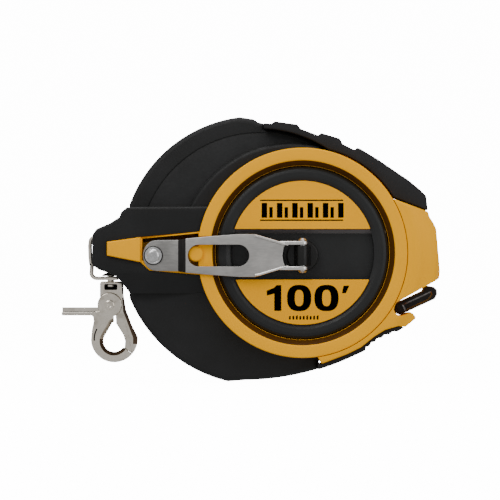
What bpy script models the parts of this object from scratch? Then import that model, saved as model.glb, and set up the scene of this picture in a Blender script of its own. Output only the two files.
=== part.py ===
"""Closed-case surveyor's tape reel, 100 ft, with a 3:1 geared folding crank.

The reel stands upright as it is carried: +X points to the tape mouth, +Z up, and the front
face with the crank looks along -Y. The origin is the crank's axis on the flat rear face.
Shapes are drawn in millimetres as seen from the front, as (x, z) outlines, and a depth is
the distance in front of the rear face. mesh_object() turns both into metres.
"""

import math

import bmesh
import bpy
from mathutils import Matrix, Vector

for old in list(bpy.data.objects):
    bpy.data.objects.remove(old, do_unlink=True)

MM = 0.001
GAP = 0.3  # clearance between pieces that touch or slide

# Driving dimensions, in mm.
DRUM_X = -25.0  # drum axis, left of the crank axis by the gear pair's centre distance
DRUM_R = 66.0
HUB_R = 40.0
PACK_R = 63.5  # 100 ft of wound blade
CHAMBER_R = 69.5
SHELL_R = 72.0  # the drum housing where other pieces close round it
SEAM_R = 69.7
RING_R = 60.7  # outside of the bezel ring
RING_INNER = 53.6
DISC_R = 49.9
LABEL_R = 41.6

WALL = 2.5
SPLIT = 17.0  # depth where the rear and front halves meet
CHAMBER_FRONT = 23.0
SHELL_FRONT = 25.5
CONE_TOP = 30.5
CONE_INNER_R = 42.0
MOAT = 26.3
NOSE_FRONT = 37.5
FRONT = 40.0  # face of the bezel and of the end housing
DISC_FACE = 36.5
LABEL_SEAT = 35.6
CHANNEL_FLOOR = 31.5

ARM_Z = -1.6  # height of the arm's centreline
SHEET = 1.6  # crank arm's steel
ARM_BACK = 40.5
PIN_DEPTH = ARM_BACK + SHEET / 2
JOGGLE = 2.5
KNOB_X = -86.1
KNOB_R = 5.8
KNOB_FRONT = 37.7
KNOB_BACK = 28.1

MODULE = 1.25
PINION_TEETH = 20
RING_TEETH = 60
TAPE_ANGLE = math.radians(25.0)
TAPE_WIDTH = 9.5
TAPE_DEPTH = 10.25  # middle of the blade
TAPE_THICK = 0.25  # with its coating
TAPE_RHO = PACK_R + GAP + TAPE_THICK / 2  # the free blade's line, from the drum axis

BAIL_PIVOT = (-116.6, 5.2)
SNAP_DEPTH = 20.0  # middle of the bail and of the snap hook
SWIVEL_X = -111.3
SNAP_HEAD = (-111.9, -30.3)  # the jaw's rivet
SNAP_HALF = 3.5  # half the hook's thickness
HEAD_R = 7.1  # round head of the jaw
LAP = 20.0  # depth where the jaw's head laps the frame's
JAW_RIVET_R = 1.7
POST_R = 2.0
POST_TOP = -13.6  # height of the seat under the swivel post's dome
STRAP_HALF = 5.4  # half the bail strap's width
STRAP = 1.8  # the bail strap's thickness
RELIEF_R = 9.4  # hollow in the nose round the swivel
KEEL_FRONT = 37.6  # face of the keel rubber, behind the crank arm's sweep


# Materials.


def make_material(name, colour, roughness, metallic=0.0):
    material = bpy.data.materials.new(name)
    material.use_nodes = True
    shader = material.node_tree.nodes["Principled BSDF"]
    shader.inputs["Base Color"].default_value = (*colour, 1.0)
    shader.inputs["Roughness"].default_value = roughness
    shader.inputs["Metallic"].default_value = metallic
    return material


LOOKS = {
    "black_rubber": ((0.022, 0.022, 0.022), 0.62, 0.0),
    "black_plastic": ((0.014, 0.014, 0.014), 0.42, 0.0),
    "yellow_plastic": ((0.93, 0.46, 0.012), 0.36, 0.0),
    "label_print": ((0.95, 0.5, 0.02), 0.45, 0.0),
    "grey_plastic": ((0.18, 0.18, 0.19), 0.5, 0.0),
    "white_plastic": ((0.75, 0.75, 0.72), 0.45, 0.0),
    "arm_steel": ((0.42, 0.41, 0.39), 0.38, 1.0),
    "bright_steel": ((0.62, 0.6, 0.56), 0.2, 1.0),
    "blade_steel": ((0.8, 0.62, 0.08), 0.35, 0.6),
    "dark_steel": ((0.05, 0.05, 0.05), 0.4, 0.8),
}


def paint(obj, look):
    """Gives the piece a material of its own in one of the finishes above."""
    obj.data.materials.append(make_material(f"{obj.name}_{look}", *LOOKS[look]))


# Frames: one empty on each joint's axis.


def frame(name, x, depth, z, parent=None):
    empty = bpy.data.objects.new(name, None)
    bpy.context.scene.collection.objects.link(empty)
    place = Vector((x, -depth, z)) * MM
    empty["place"] = place
    if parent:
        empty.parent = parent
        place = place - Vector(parent["place"])
    empty.location = place
    return empty


# Mesh tools. Each returns an object whose origin is on its frame.


def mesh_object(name, bm, home, look=None):
    bmesh.ops.recalc_face_normals(bm, faces=bm.faces[:])
    bm.transform(Matrix.Scale(MM, 4))
    mesh = bpy.data.meshes.new(name)
    if home:
        bm.transform(Matrix.Translation(-Vector(home["place"])))
    bm.to_mesh(mesh)
    bm.free()
    obj = bpy.data.objects.new(name, mesh)
    bpy.context.scene.collection.objects.link(obj)
    obj.parent = home
    if look:
        paint(obj, look)
        mesh.shade_smooth()
        mesh.set_sharp_from_angle(angle=math.radians(32))
    else:
        obj.hide_render = True
        obj.display_type = "WIRE"
    return obj


def facing(u, v, w):
    """Places an (x, z) outline so that it runs forward, along -Y."""
    return u, -w, v


def upright(u, v, w):
    """Places an (x, depth) outline so that it runs along Z."""
    return u, -v, w


def arc(cx, cz, r, start, end, steps):
    """Points on an arc; angles in degrees, anticlockwise from +X as seen from the front."""
    angles = [math.radians(start + (end - start) * i / steps) for i in range(steps + 1)]
    return [(cx + r * math.cos(a), cz + r * math.sin(a)) for a in angles]


def area(outline):
    ends = zip(outline, outline[1:] + outline[:1])
    return sum(a[0] * b[1] - b[0] * a[1] for a, b in ends) / 2


def inset(outline, by):
    """The anticlockwise outline moved inwards by that much, with mitred corners."""
    made = []
    for i, here in enumerate(outline):
        before, after = Vector(outline[i - 1]), Vector(outline[(i + 1) % len(outline)])
        here = Vector(here)
        first, second = (here - before).normalized(), (after - here).normalized()
        n1, n2 = Vector((-first.y, first.x)), Vector((-second.y, second.x))
        made.append(here + (n1 + n2) * (by / max(0.35, 1 + n1.dot(n2))))
    return [(p.x, p.y) for p in made]


def stack(name, rings, home, look=None, place=None):
    """A closed solid through rings of equally many points; place turns (u, v, w) to 3-D."""
    place = place or facing
    bm = bmesh.new()
    loops = [[bm.verts.new(place(u, v, w)) for u, v in ring] for ring, w in rings]
    for low, high in zip(loops, loops[1:]):
        for i in range(len(low)):
            j = (i + 1) % len(low)
            bm.faces.new((low[i], low[j], high[j], high[i]))
    bm.faces.new(loops[0][::-1])
    bm.faces.new(loops[-1])
    return mesh_object(name, bm, home, look)


def prism(name, outline, low, high, home, look=None, steps=None, place=None):
    """An outline run from depth low to high. steps lists (depth, inset) levels instead."""
    if area(outline) < 0:
        outline = outline[::-1]
    levels = steps or [(low, 0.0), (high, 0.0)]
    rings = [(inset(outline, by) if by else outline, depth) for depth, by in levels]
    return stack(name, rings, home, look, place)


def eased(low, high, back, front):
    """Levels that round a prism's back edge and front edge by those radii."""
    levels = []
    if back:
        levels += [(low, back), (low + back, 0.0)]
    else:
        levels += [(low, 0.0)]
    if front:
        levels += [(high - front, 0.0), (high, front)]
    else:
        levels += [(high, 0.0)]
    return levels


def turned(name, profile, cx, cz, home, look=None, steps=48, axis="Y"):
    """A profile of (radius, depth or height) points turned about an axis along Y or Z."""
    bm = bmesh.new()
    rows = []
    for r, w in profile:
        row = []
        for i in range(steps if r > 0 else 1):
            a = 2 * math.pi * i / steps
            u, v = r * math.cos(a), r * math.sin(a)
            point = (cx + u, -w, cz + v) if axis == "Y" else (cx + u, v - cz, w)
            row.append(bm.verts.new(point))
        rows.append(row)
    for one, two in zip(rows, rows[1:] + rows[:1]):
        if len(one) == 1 and len(two) == 1:
            continue
        for i in range(steps):
            j = (i + 1) % steps
            quad = [one[i % len(one)], one[j % len(one)], two[j % len(two)], two[i % len(two)]]
            corners = [v for k, v in enumerate(quad) if v not in quad[:k]]
            if len(corners) > 2:
                bm.faces.new(corners)
    return mesh_object(name, bm, home, look)


def cylinder(name, cx, cz, r, low, high, home=None, look=None, steps=48, axis="Y"):
    return turned(name, [(0, low), (r, low), (r, high), (0, high)], cx, cz, home, look, steps, axis)


def box(name, x, depth, z, home=None, look=None):
    outline = [(x[0], z[0]), (x[1], z[0]), (x[1], z[1]), (x[0], z[1])]
    return prism(name, outline, depth[0], depth[1], home, look)


def combine(obj, other, operation):
    modifier = obj.modifiers.new(f"{operation.lower()}_{other.name}", "BOOLEAN")
    modifier.operation = operation
    modifier.object = other
    modifier.solver = "EXACT"
    other.hide_render = True
    other.display_type = "WIRE"
    return obj


def cut(obj, *others):
    for other in others:
        combine(obj, other, "DIFFERENCE")
    return obj


def fuse(obj, *others):
    for other in others:
        combine(obj, other, "UNION")
    return obj


def along_tape(t, s):
    """(x, z) of a point t along the free blade from its tangent point and s above it."""
    ux, uz = math.cos(TAPE_ANGLE), math.sin(TAPE_ANGLE)
    return (DRUM_X + (TAPE_RHO - s) * uz + t * ux, -(TAPE_RHO - s) * ux + t * uz)


def tape_outline(points):
    return [along_tape(t, s) for t, s in points]


def tape_box(name, t, s, depth, home=None, look=None):
    corners = [(t[0], s[0]), (t[1], s[0]), (t[1], s[1]), (t[0], s[1])]
    return prism(name, tape_outline(corners), depth[0], depth[1], home, look)


CASE = frame("case_frame", 0, 0, 0)
CRANK = frame("crank_axis", 0, 0, 0, CASE)
DRUM = frame("drum_axis", DRUM_X, 0, 0, CASE)
FOLD = frame("fold_axis", 0, PIN_DEPTH, ARM_Z, CRANK)
KNOB = frame("knob_axis", KNOB_X, PIN_DEPTH, ARM_Z, FOLD)
TAPE = frame("tape_line", along_tape(0, 0)[0], TAPE_DEPTH, along_tape(0, 0)[1], CASE)
BAIL = frame("bail_axis", BAIL_PIVOT[0], SNAP_DEPTH, BAIL_PIVOT[1], CASE)
SWIVEL = frame("swivel_axis", SWIVEL_X, SNAP_DEPTH, -16.0, BAIL)
JAW = frame("jaw_axis", SNAP_HEAD[0], SNAP_DEPTH, SNAP_HEAD[1], SWIVEL)


# Outlines of the case, anticlockwise from the front.

UPPER_ARC = (-26.6, 0.9, 78.6)
LOWER_LEFT_ARC = (-24.2, 5.5, 82.5)
KEEL_ARC = (-34.3, 75.8, 149.8)
NOSE_JOINT_X = -100.3
STRIP_X = 9.3  # where the keel rubber takes over from the drum shell


def keel(x):
    """Height of the keel arc at x."""
    return KEEL_ARC[1] - math.sqrt(KEEL_ARC[2] ** 2 - (x - KEEL_ARC[0]) ** 2)


def keel_angle(x):
    return -math.degrees(math.acos((x - KEEL_ARC[0]) / KEEL_ARC[2]))


def shell_outline():
    left = arc(*LOWER_LEFT_ARC, -157.3, -103.3, 9)
    bottom = arc(*KEEL_ARC, keel_angle(-33.0), keel_angle(STRIP_X), 4)
    right = arc(DRUM_X, 0, SHELL_R, -61.6, 87.6, 18)
    step = [(-22.0, 75.0), (-25.7, 75.9), (-28.6, 77.7)]
    top = arc(*UPPER_ARC, 97, 159.7, 10)
    return left + bottom + right + step + top


HOUSING_RIGHT = [
    (11.0, -64.2), (26.0, -58.5), (33.8, -54.6), (41.5, -48.4), (47.7, -44.6), (55.5, -42.2),
    (59.4, -43.0), (66.0, -37.6), (63.2, -34.3), (55.0, -38.3), (53.4, -36.6), (53.4, -30.2),
    (54.3, -28.7), (79.4, -14.9), (79.9, -10.6), (78.7, 0.0), (77.5, 13.8), (75.8, 17.3),
    (73.5, 20.8), (72.6, 23.8), (52.4, 31.3),
]


def housing_outline():
    """The yellow end housing, closed on its left inside the drum shell and the ring."""
    return HOUSING_RIGHT + arc(0, 0, 61.0, 31.0, 72.0, 10) + [(0, 40), (-10, 0), (0, -45)]


def housing_cavity():
    right = [
        (18.0, -58.5), (25.0, -55.9), (32.6, -52.3), (40.1, -46.4), (46.8, -42.2), (50.4, -41.2),
        (50.4, -27.9), (76.4, -13.6), (77.0, -10.5), (76.0, 0.0), (74.9, 12.7), (73.4, 15.9),
        (71.0, 20.0), (70.4, 21.9), (52.0, 28.7),
    ]
    return right + [(40, 30), (0, 30), (0, -50)]


def nose_strip():
    """The yellow strip that carries the crank pocket, from the ring to the nose."""
    return [(-113.0, -1.6), (-93.4, -5.5), (-88.5, -10.2), (-57.0, -12.9), (-57.0, 12.6),
            (-62.0, 12.0), (-93.4, 9.1), (-113.0, 6.4)]


# Case.


def build_shells():
    outline = shell_outline()
    rear_steps = [(0.0, 2.6), (0.8, 0.8), (2.6, 0.0), (SPLIT, 0.0)]
    rear = prism("rear_shell", outline, 0, SPLIT, CASE, "black_rubber", rear_steps)
    cut(rear, cylinder("rear_chamber", DRUM_X, 0, CHAMBER_R, WALL, SPLIT + 1, steps=48))
    cut(rear, tape_box("rear_tape_slot", (20, 44), (-2.0, 2.0), (4.6, 15.9)))

    front_steps = [(SPLIT + GAP, 0.0), (22.4, 0.0), (SHELL_FRONT, 3.1)]
    front = prism("front_shell", outline, 0, 0, CASE, "black_rubber", front_steps)
    cone = [(0, 20), (SEAM_R - 0.6, 20), (SEAM_R - 0.6, SHELL_FRONT + 0.1), (CONE_INNER_R, CONE_TOP),
            (0, CONE_TOP)]
    fuse(front, turned("shell_cone", cone, DRUM_X, 0, None, steps=48))
    chamber = [(0, SPLIT - 1), (CHAMBER_R, SPLIT - 1), (CHAMBER_R, 21.0), (CHAMBER_R - 2, CHAMBER_FRONT),
               (0, CHAMBER_FRONT)]
    cut(front, turned("front_chamber", chamber, DRUM_X, 0, None, steps=48))
    cut(front, cylinder("moat", 0, 0, RING_R + GAP, MOAT, 33, steps=48))
    cut(front, cylinder("crank_well", 0, 0, 48.0, 20, 33, steps=40))
    cut(front, prism("pocket_well", inset(nose_strip(), -GAP), 25.4, 33, None))
    return rear, front


def build_nose_block():
    outline = [
        (-52.0, 25.4), (-102.3, 25.4), (-104.6, 24.0), (-105.7, 20.8), (-111.0, 17.3),
        (-119.1, 13.8), (-121.4, 10.5), (-121.4, -7.2), (-117.8, -9.8), (-112.4, -11.6),
        (-108.0, -13.4), (-104.4, -17.3), (-101.4, -21.4), (-99.9, -23.6), (-52.0, -23.6),
    ]
    block = prism("nose_block", outline, 0, 0, CASE, "black_plastic",
                  eased(0.6, NOSE_FRONT, 1.0, 0.8))
    cut(block, box("nose_seat", (NOSE_JOINT_X - GAP, -40), (-1, SHELL_FRONT + GAP), (-30, 30)))
    cone = [(0, 20), (SEAM_R - 0.3, 20), (SEAM_R - 0.3, SHELL_FRONT + 0.4),
            (CONE_INNER_R, CONE_TOP + GAP), (0, CONE_TOP + GAP)]
    cut(block, turned("nose_cone", cone, DRUM_X, 0, None, steps=48))
    cut(block, cylinder("nose_ring", 0, 0, RING_R + GAP, 20, 41, steps=48))
    cut(block, prism("nose_groove", inset(nose_strip(), -GAP), 20, 41, None))
    slot = [(-125.0, -14.0), (-120.3, -14.0), (-112.2, 0.8), (-110.6, 8.0)]
    slot += arc(*BAIL_PIVOT, 8.5, 60, 150, 6) + [(-126.0, 9.5)]
    cut(block, prism("bail_slot", slot, SNAP_DEPTH - STRAP_HALF - 0.8, SNAP_DEPTH + STRAP_HALF + 0.8, None))
    cut(block, cylinder("swivel_relief", SWIVEL_X, SNAP_DEPTH, RELIEF_R, -30, -10.6, steps=24, axis="Z"))
    cut(block, cylinder("bail_pin_hole", *BAIL_PIVOT, 1.9, 6.0, 34.0, steps=20))
    return block


def build_bezel():
    """The ring round the crank disc, in one piece with the nose strip and its pocket."""
    base = MOAT + GAP
    profile = [
        (54.6, base), (RING_R, base), (RING_R, FRONT - 0.9), (RING_R - 0.9, FRONT),
        (RING_INNER, FRONT), (50.3, 36.9),
        (50.3, 30.3), (54.6, 30.3),
    ]
    ring = turned("bezel", profile, 0, 0, CASE, "yellow_plastic", steps=48)
    strip = nose_strip()
    fuse(ring, prism("strip_body", strip, 25.7, 37.7, None))
    pad = [(-113.0, -1.6), (-93.4, -5.5), (-93.4, 9.1), (-113.0, 6.4)]
    pad_steps = [(25.7, 0.0), (FRONT - 0.6, 0.0), (FRONT, 0.6)]
    fuse(ring, prism("strip_pad", pad, 0, 0, None, steps=pad_steps))
    top = [(-92.4, -4.0), (-88.1, -9.0), (-60.0, -11.3), (-60.0, 11.2), (-92.4, 8.2)]
    floor = [(-92.4, -3.6), (-88.1, -8.4), (-60.0, -9.5), (-60.0, 8.0), (-92.4, 6.2)]
    wide = [(-93.3, -4.4), (-88.3, -9.4), (-60.0, -11.7), (-60.0, 11.6), (-93.3, 8.5)]
    cut(ring, stack("knob_pocket", [(floor, 26.9), (top, 37.0), (wide, 41.0)], None))
    cut(ring, box("arm_recess", (-67.0, -49.0), (38.2, 42.0), (-12.4, 9.6)))
    fuse(ring, cylinder("rest_nub", -61.7, ARM_Z, 4.3, 25.7, FRONT, steps=32))
    cut(ring, cylinder("disc_clear", 0, 0, 50.3, 24, 42, steps=48))
    cut(ring, cylinder("flange_clear", 0, 0, 54.6, 24, 30.3, steps=48))
    pad_hollow = [(-111.0, -0.2), (-95.6, -3.2), (-95.6, 6.8), (-111.0, 4.7)]
    cut(ring, prism("pad_hollow", pad_hollow, 24, 37.6, None))
    return ring


def build_housing():
    outline = housing_outline()
    rear = prism("end_housing_rear", outline, 0, 0, CASE, "yellow_plastic",
                 [(0.0, 1.2), (0.35, 0.35), (1.2, 0.0), (SPLIT, 0.0)])
    cut(rear, cylinder("rear_drum_clear", DRUM_X, 0, SHELL_R + GAP, -1, SPLIT + 1, steps=48))
    cavity = prism("rear_cavity", housing_cavity(), WALL, SPLIT + 1, None)
    cut(cavity, cylinder("rear_inner_wall", DRUM_X, 0, SHELL_R + GAP + 2.2, 0, SPLIT + 2, steps=48))
    cut(rear, cavity)
    cut(rear, tape_box("housing_tape_slot", (30, 44), (-2.0, 2.0), (4.6, 15.9)))
    cut(rear, tape_box("mouth_slot", (50, 60), (-2.6, 2.6), (3.4, SPLIT + 1)))

    front = prism("end_housing_front", outline, 0, 0, CASE, "yellow_plastic",
                  [(SPLIT + GAP, 0.0), (FRONT - 1.2, 0.0), (FRONT - 0.35, 0.35), (FRONT, 1.2)])
    cut(front, cylinder("front_drum_clear", DRUM_X, 0, SHELL_R + GAP, 0, MOAT + GAP, steps=48))
    cut(front, cylinder("front_ring_clear", 0, 0, RING_R + GAP, MOAT + GAP - 0.2, 42, steps=48))
    sweep = [(63.0, 42), (63.0, 40.1), (67.4, 39.7), (71.4, 37.5), (76.0, 36.3), (79.0, 33.5), (79.9, 27.5),
             (95, 27.5), (95, 42)]
    cut(front, turned("crank_sweep", sweep, 0, 0, None, steps=64))
    cavity = prism("front_cavity", housing_cavity(), SPLIT - 1, 35.0, None)
    cut(cavity, cylinder("front_drum_wall", DRUM_X, 0, SHELL_R + GAP + 2.2, 0, 28.8, steps=48))
    cut(cavity, cylinder("front_ring_wall", 0, 0, RING_R + GAP + 2.2, 25, 42, steps=48))
    cut(front, cavity)
    return rear, front


def build_mouth_guide():
    """The steel throat that the blade slides through."""
    guide = tape_box("mouth_guide", (50.9, 56.6), (-2.3, 2.3), (3.7, SPLIT - GAP), CASE, "dark_steel")
    return cut(guide, tape_box("throat", (49, 59), (-0.8, 0.8), (TAPE_DEPTH - 5.2, TAPE_DEPTH + 5.2)))


def build_grips():
    pads = [
        (72.3, 27.7), (71.7, 32.9), (68.3, 36.4), (61.3, 42.2), (54.3, 46.9), (43.9, 54.0),
        (33.5, 60.3), (31.6, 60.9), (30.3, 59.5), (23.4, 63.0), (21.6, 66.2), (10.9, 69.4),
        (9.1, 68.0), (-1.0, 71.8), (-2.9, 74.3), (-15.9, 76.1), (-18.0, 74.7), (-21.6, 75.2),
    ]
    inner = arc(DRUM_X, 0, SHELL_R + GAP, 87.3, 56.0, 9) + arc(0, 0, RING_R + 0.9, 72.0, 31.6, 9)
    outline = pads + inner + [(72.7, 24.3)]
    grip = prism("top_grip", outline, 0, 0, CASE, "black_rubber",
                 [(0.8, 1.0), (1.8, 0.0), (33.0, 0.0), (34.2, 0.4), (34.8, 1.0)])

    start, bend, end = Vector((34.5, -57.4)), Vector((40.5, -48.3)), Vector((57.6, -43.9))
    outer = [(x, keel(x)) for x in (9.7, 18.0, 26.0)]
    ribs = 6
    for i in range(2 * ribs + 1):
        t = i / (2 * ribs)
        tangent = ((bend - start) * (1 - t) + (end - bend) * t).normalized()
        outward = Vector((tangent.y, -tangent.x))
        point = start * (1 - t) ** 2 + bend * (2 * t * (1 - t)) + end * t**2
        outer.append(tuple(point + outward * (0.9 if i % 2 else 0.0)))
    inner = [(58.9, -43.4), (55.6, -42.6), (47.9, -45.0), (41.7, -48.8), (34.0, -55.0),
             (26.1, -58.9), (10.8, -64.7), (9.7, -63.9)]
    strip = prism("keel_strip", outer + inner, 0, 0, CASE, "black_rubber",
                  [(1.0, 0.2), (1.6, 0.0), (KEEL_FRONT - 0.6, 0.0), (KEEL_FRONT, 0.2)])
    return grip, strip


def screw_profile(low, high, head_r, shank_r, head):
    """A pan-head screw driven from the rear: its head at depth low, its tip at high."""
    return [
        (0, low + 0.5 * head), (0.4 * head_r, low), (0.7 * head_r, low), (head_r, low + 0.6 * head),
        (head_r, low + head), (shank_r, low + head), (shank_r, high - 1.0), (0, high),
    ]


CASE_SCREWS = [(-89.1, 37.4), (-47.8, 70.6), (-86.2, -41.9), (66.5, 4.0), (35.2, -47.4)]
BEZEL_SCREW_ANGLES = (98, 146, 214)


def build_case_screws(rear_shell, front_shell, housing_rear, housing_front, bezel):
    for i, (x, z) in enumerate(CASE_SCREWS):
        low, high = 0.6, 21.0
        turned(f"case_screw_{i + 1}", screw_profile(low, high, 2.9, 1.4, 2.2), x, z, CASE,
               "bright_steel", steps=12)
        in_housing = x > 0
        if in_housing:
            fuse(housing_rear, cylinder(f"rear_boss_{i}", x, z, 3.9, 1.0, SPLIT, steps=16))
            top = 39.0 if math.hypot(x, z) > RING_R + 4 else 26.0
            fuse(housing_front, cylinder(f"front_boss_{i}", x, z, 3.9, SPLIT + GAP, top, steps=16))
        for shell in (housing_rear, housing_front) if in_housing else (rear_shell, front_shell):
            name = f"{shell.name}_hole_{i}"
            cut(shell, cylinder(name, x, z, 1.4 + GAP, -1, high + GAP, steps=12))
            if shell.name.endswith("rear") or shell is rear_shell:
                cut(shell, cylinder(name + "_seat", x, z, 2.9 + GAP, -1, low + 2.2 + GAP, steps=16))
    for i, angle in enumerate(BEZEL_SCREW_ANGLES):
        (x, z), = arc(0, 0, 57.7, angle, angle, 1)[:1]
        low, high = 20.5, 34.0
        turned(f"bezel_screw_{i + 1}", screw_profile(low, high, 2.6, 1.2, 2.0), x, z, CASE,
               "bright_steel", steps=12)
        for shell in (front_shell, bezel):
            cut(shell, cylinder(f"{shell.name}_bore_{i}", x, z, 1.2 + GAP, 18, high + GAP, steps=12))


# Drum and its gear pair.


def involute_flank(teeth, root_r, tip_r, backlash, steps):
    """(radius, half angle) points of one tooth flank, from root to tip."""
    pitch_r = MODULE * teeth / 2
    base_r = pitch_r * math.cos(math.radians(20))
    inv = math.tan(math.radians(20)) - math.radians(20)
    half = math.pi / (2 * teeth) + inv - backlash / pitch_r
    made = []
    if root_r < base_r:
        made.append((root_r, half))
    start = max(root_r, base_r)
    for i in range(steps + 1):
        r = start + (tip_r - start) * i / steps
        pressure = math.acos(min(1.0, base_r / r))
        made.append((r, half - (math.tan(pressure) - pressure)))
    return made


def gear_outline(cx, teeth, flank, phase):
    """Teeth centred on phase + i turns of the tooth pitch, angles in radians."""
    points = []
    for i in range(teeth):
        middle = phase + 2 * math.pi * i / teeth
        sides = [(r, middle - a) for r, a in flank] + [(r, middle + a) for r, a in reversed(flank)]
        points += [(cx + r * math.cos(a), r * math.sin(a)) for r, a in sides]
    return points


def build_drum():
    core_profile = [
        (9.3, 3.6), (DRUM_R, 3.6), (DRUM_R, 5.0), (HUB_R, 5.0), (HUB_R, 15.2), (37.6, 15.2),
        (37.6, 5.0 + 1.2), (9.3, 6.2),
    ]
    turned("drum_core", core_profile, DRUM_X, 0, DRUM, "grey_plastic", steps=36)
    flange_profile = [
        (9.3, 14.6), (34.6, 14.6), (34.6, 11.0), (37.2, 11.0), (37.2, 15.5), (DRUM_R, 15.5),
        (DRUM_R, 16.7), (9.3, 16.7),
    ]
    turned("drum_flange", flange_profile, DRUM_X, 0, DRUM, "grey_plastic", steps=36)
    low, high = TAPE_DEPTH - TAPE_WIDTH / 2, TAPE_DEPTH + TAPE_WIDTH / 2
    pack = [(HUB_R + GAP, low), (PACK_R, low), (PACK_R, high), (HUB_R + GAP, high)]
    turned("tape_pack", pack, DRUM_X, 0, DRUM, "blade_steel", steps=48)

    flank = involute_flank(PINION_TEETH, 10.9, 13.65, 0.12, 2)
    outline = gear_outline(DRUM_X, PINION_TEETH, flank, 0.0)
    pinion = prism("pinion", outline, 17.1, CHAMBER_FRONT + 0.2, DRUM, "white_plastic")
    fuse(pinion, cylinder("pinion_hub", DRUM_X, 0, 9.0, 3.9, 18.0, steps=28))
    cut(pinion, cylinder("pinion_bore", DRUM_X, 0, 4.0 + GAP, 0, 30, steps=20))


def build_axle():
    profile = [(0, WALL + GAP), (8.0, WALL + GAP), (8.0, 3.4), (4.0, 3.4), (4.0, 23.4), (2.4, 23.4),
               (2.4, 18.0), (0, 18.0)]
    turned("drum_axle", profile, DRUM_X, 0, CASE, "bright_steel", steps=20)
    washer = [(2.3, 23.7), (7.5, 23.7), (7.5, 24.6), (2.3, 24.6)]
    turned("axle_washer", washer, DRUM_X, 0, CASE, "bright_steel", steps=20)
    screw = [(0, 18.6), (2.0, 18.6), (2.0, 24.9), (4.4, 24.9), (4.4, 26.0), (3.2, 26.9), (1.3, 26.9),
             (1.3, 26.1), (0, 26.1)]
    turned("axle_screw", screw, DRUM_X, 0, CASE, "bright_steel", steps=16)


# Crank.


def band(r, low, high):
    """The part of a disc of that radius between two heights."""
    a, b = math.degrees(math.asin(low / r)), math.degrees(math.asin(high / r))
    return arc(0, 0, r, a, b, 8) + arc(0, 0, r, 180 - b, 180 - a, 8)


def build_crank_disc():
    profile = [
        (0, DISC_FACE), (DISC_R - 0.6, DISC_FACE), (DISC_R, DISC_FACE - 0.6), (DISC_R, 29.9),
        (54.2, 29.9), (54.2, 26.7), (43.3, 26.7), (43.3, 23.6), (39.6, 23.6), (39.6, 29.2), (0, 29.2),
    ]
    disc = turned("crank_disc", profile, 0, 0, CRANK, "black_plastic", steps=48)
    cut(disc, cylinder("label_seat", 0, 0, LABEL_R + GAP, LABEL_SEAT, 38, steps=48))
    channel = [(band(41.0, -15.0, 9.8), CHANNEL_FLOOR), (band(41.5, -15.1, 13.3), LABEL_SEAT),
               (band(41.5, -15.2, 15.1), 38.0)]
    cut(disc, stack("channel", channel, None))
    hollow_low = arc(0, 0, 37.6, 207, 333, 9)
    hollow_high = arc(0, 0, 37.6, 27, 153, 9)
    cut(disc, prism("hollow_low", hollow_low, 28, 33.4, None))
    cut(disc, prism("hollow_high", hollow_high, 28, 33.4, None))
    fuse(disc, cylinder("hinge_boss", 0, ARM_Z, 9.0, 30.5, 37.4, steps=40))
    lug = [(-6.5, 33.0)] + [(x, PIN_DEPTH + z) for x, z in arc(0, 0, 3.4, 180, 0, 10)] + [(6.5, 33.0)]
    fuse(disc, prism("hinge_lug", lug, ARM_Z - 5.9, ARM_Z + 5.9, None, place=upright))
    cut(disc, cylinder("lug_bore", 0, PIN_DEPTH, 1.8 + GAP, -20, 20, steps=24, axis="Z"))

    flank = involute_flank(RING_TEETH, 36.75, 39.15, -0.12, 1)
    inner = gear_outline(0, RING_TEETH, flank, math.pi)
    gear = cylinder("ring_gear", 0, 0, 43.3, 17.4, 23.3, CRANK, "white_plastic", steps=36)
    cut(gear, prism("ring_gear_teeth", inner, 16, 25, None))

    upper = arc(0, 0, LABEL_R, 19.2, 160.8, 20)
    lower = arc(0, 0, LABEL_R, 201.8, 338.2, 20)
    levels = [(LABEL_SEAT + GAP, 0.0), (LABEL_SEAT + 1.1, 0.0), (LABEL_SEAT + 1.3, 0.2)]
    prism("upper_label", upper, 0, 0, CRANK, "label_print", levels)
    prism("lower_label", lower, 0, 0, CRANK, "label_print", levels)

    r, reach, head = 1.8, 8.4 + GAP, 3.0
    pin = [(0, ARM_Z - reach - 1.5), (1.6, ARM_Z - reach - 1.3), (head, ARM_Z - reach), (r, ARM_Z - reach),
           (r, ARM_Z + reach), (head, ARM_Z + reach), (1.6, ARM_Z + reach + 1.3), (0, ARM_Z + reach + 1.5)]
    turned("hinge_pin", pin, 0, PIN_DEPTH, CRANK, "bright_steel", steps=24, axis="Z")


def arm_outline():
    """The crank arm's blank, about its own centreline, narrowing to the hinge ears."""
    edge = [(-84.2, 8.9), (-72.0, 9.0), (-67.0, 9.7), (-52.0, 11.2), (-37.0, 12.3), (-25.5, 12.3),
            (-10.3, 8.4)]
    lower = [(x, -z) for x, z in edge]
    tip = arc(-84.2, 0, 8.9, 180 - 75, 180 + 75, 10)
    tip = [(-84.2 + (x + 84.2) * 0.9, z) for x, z in tip]
    return [(x, z + ARM_Z) for x, z in tip + lower + edge[::-1]]


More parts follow.
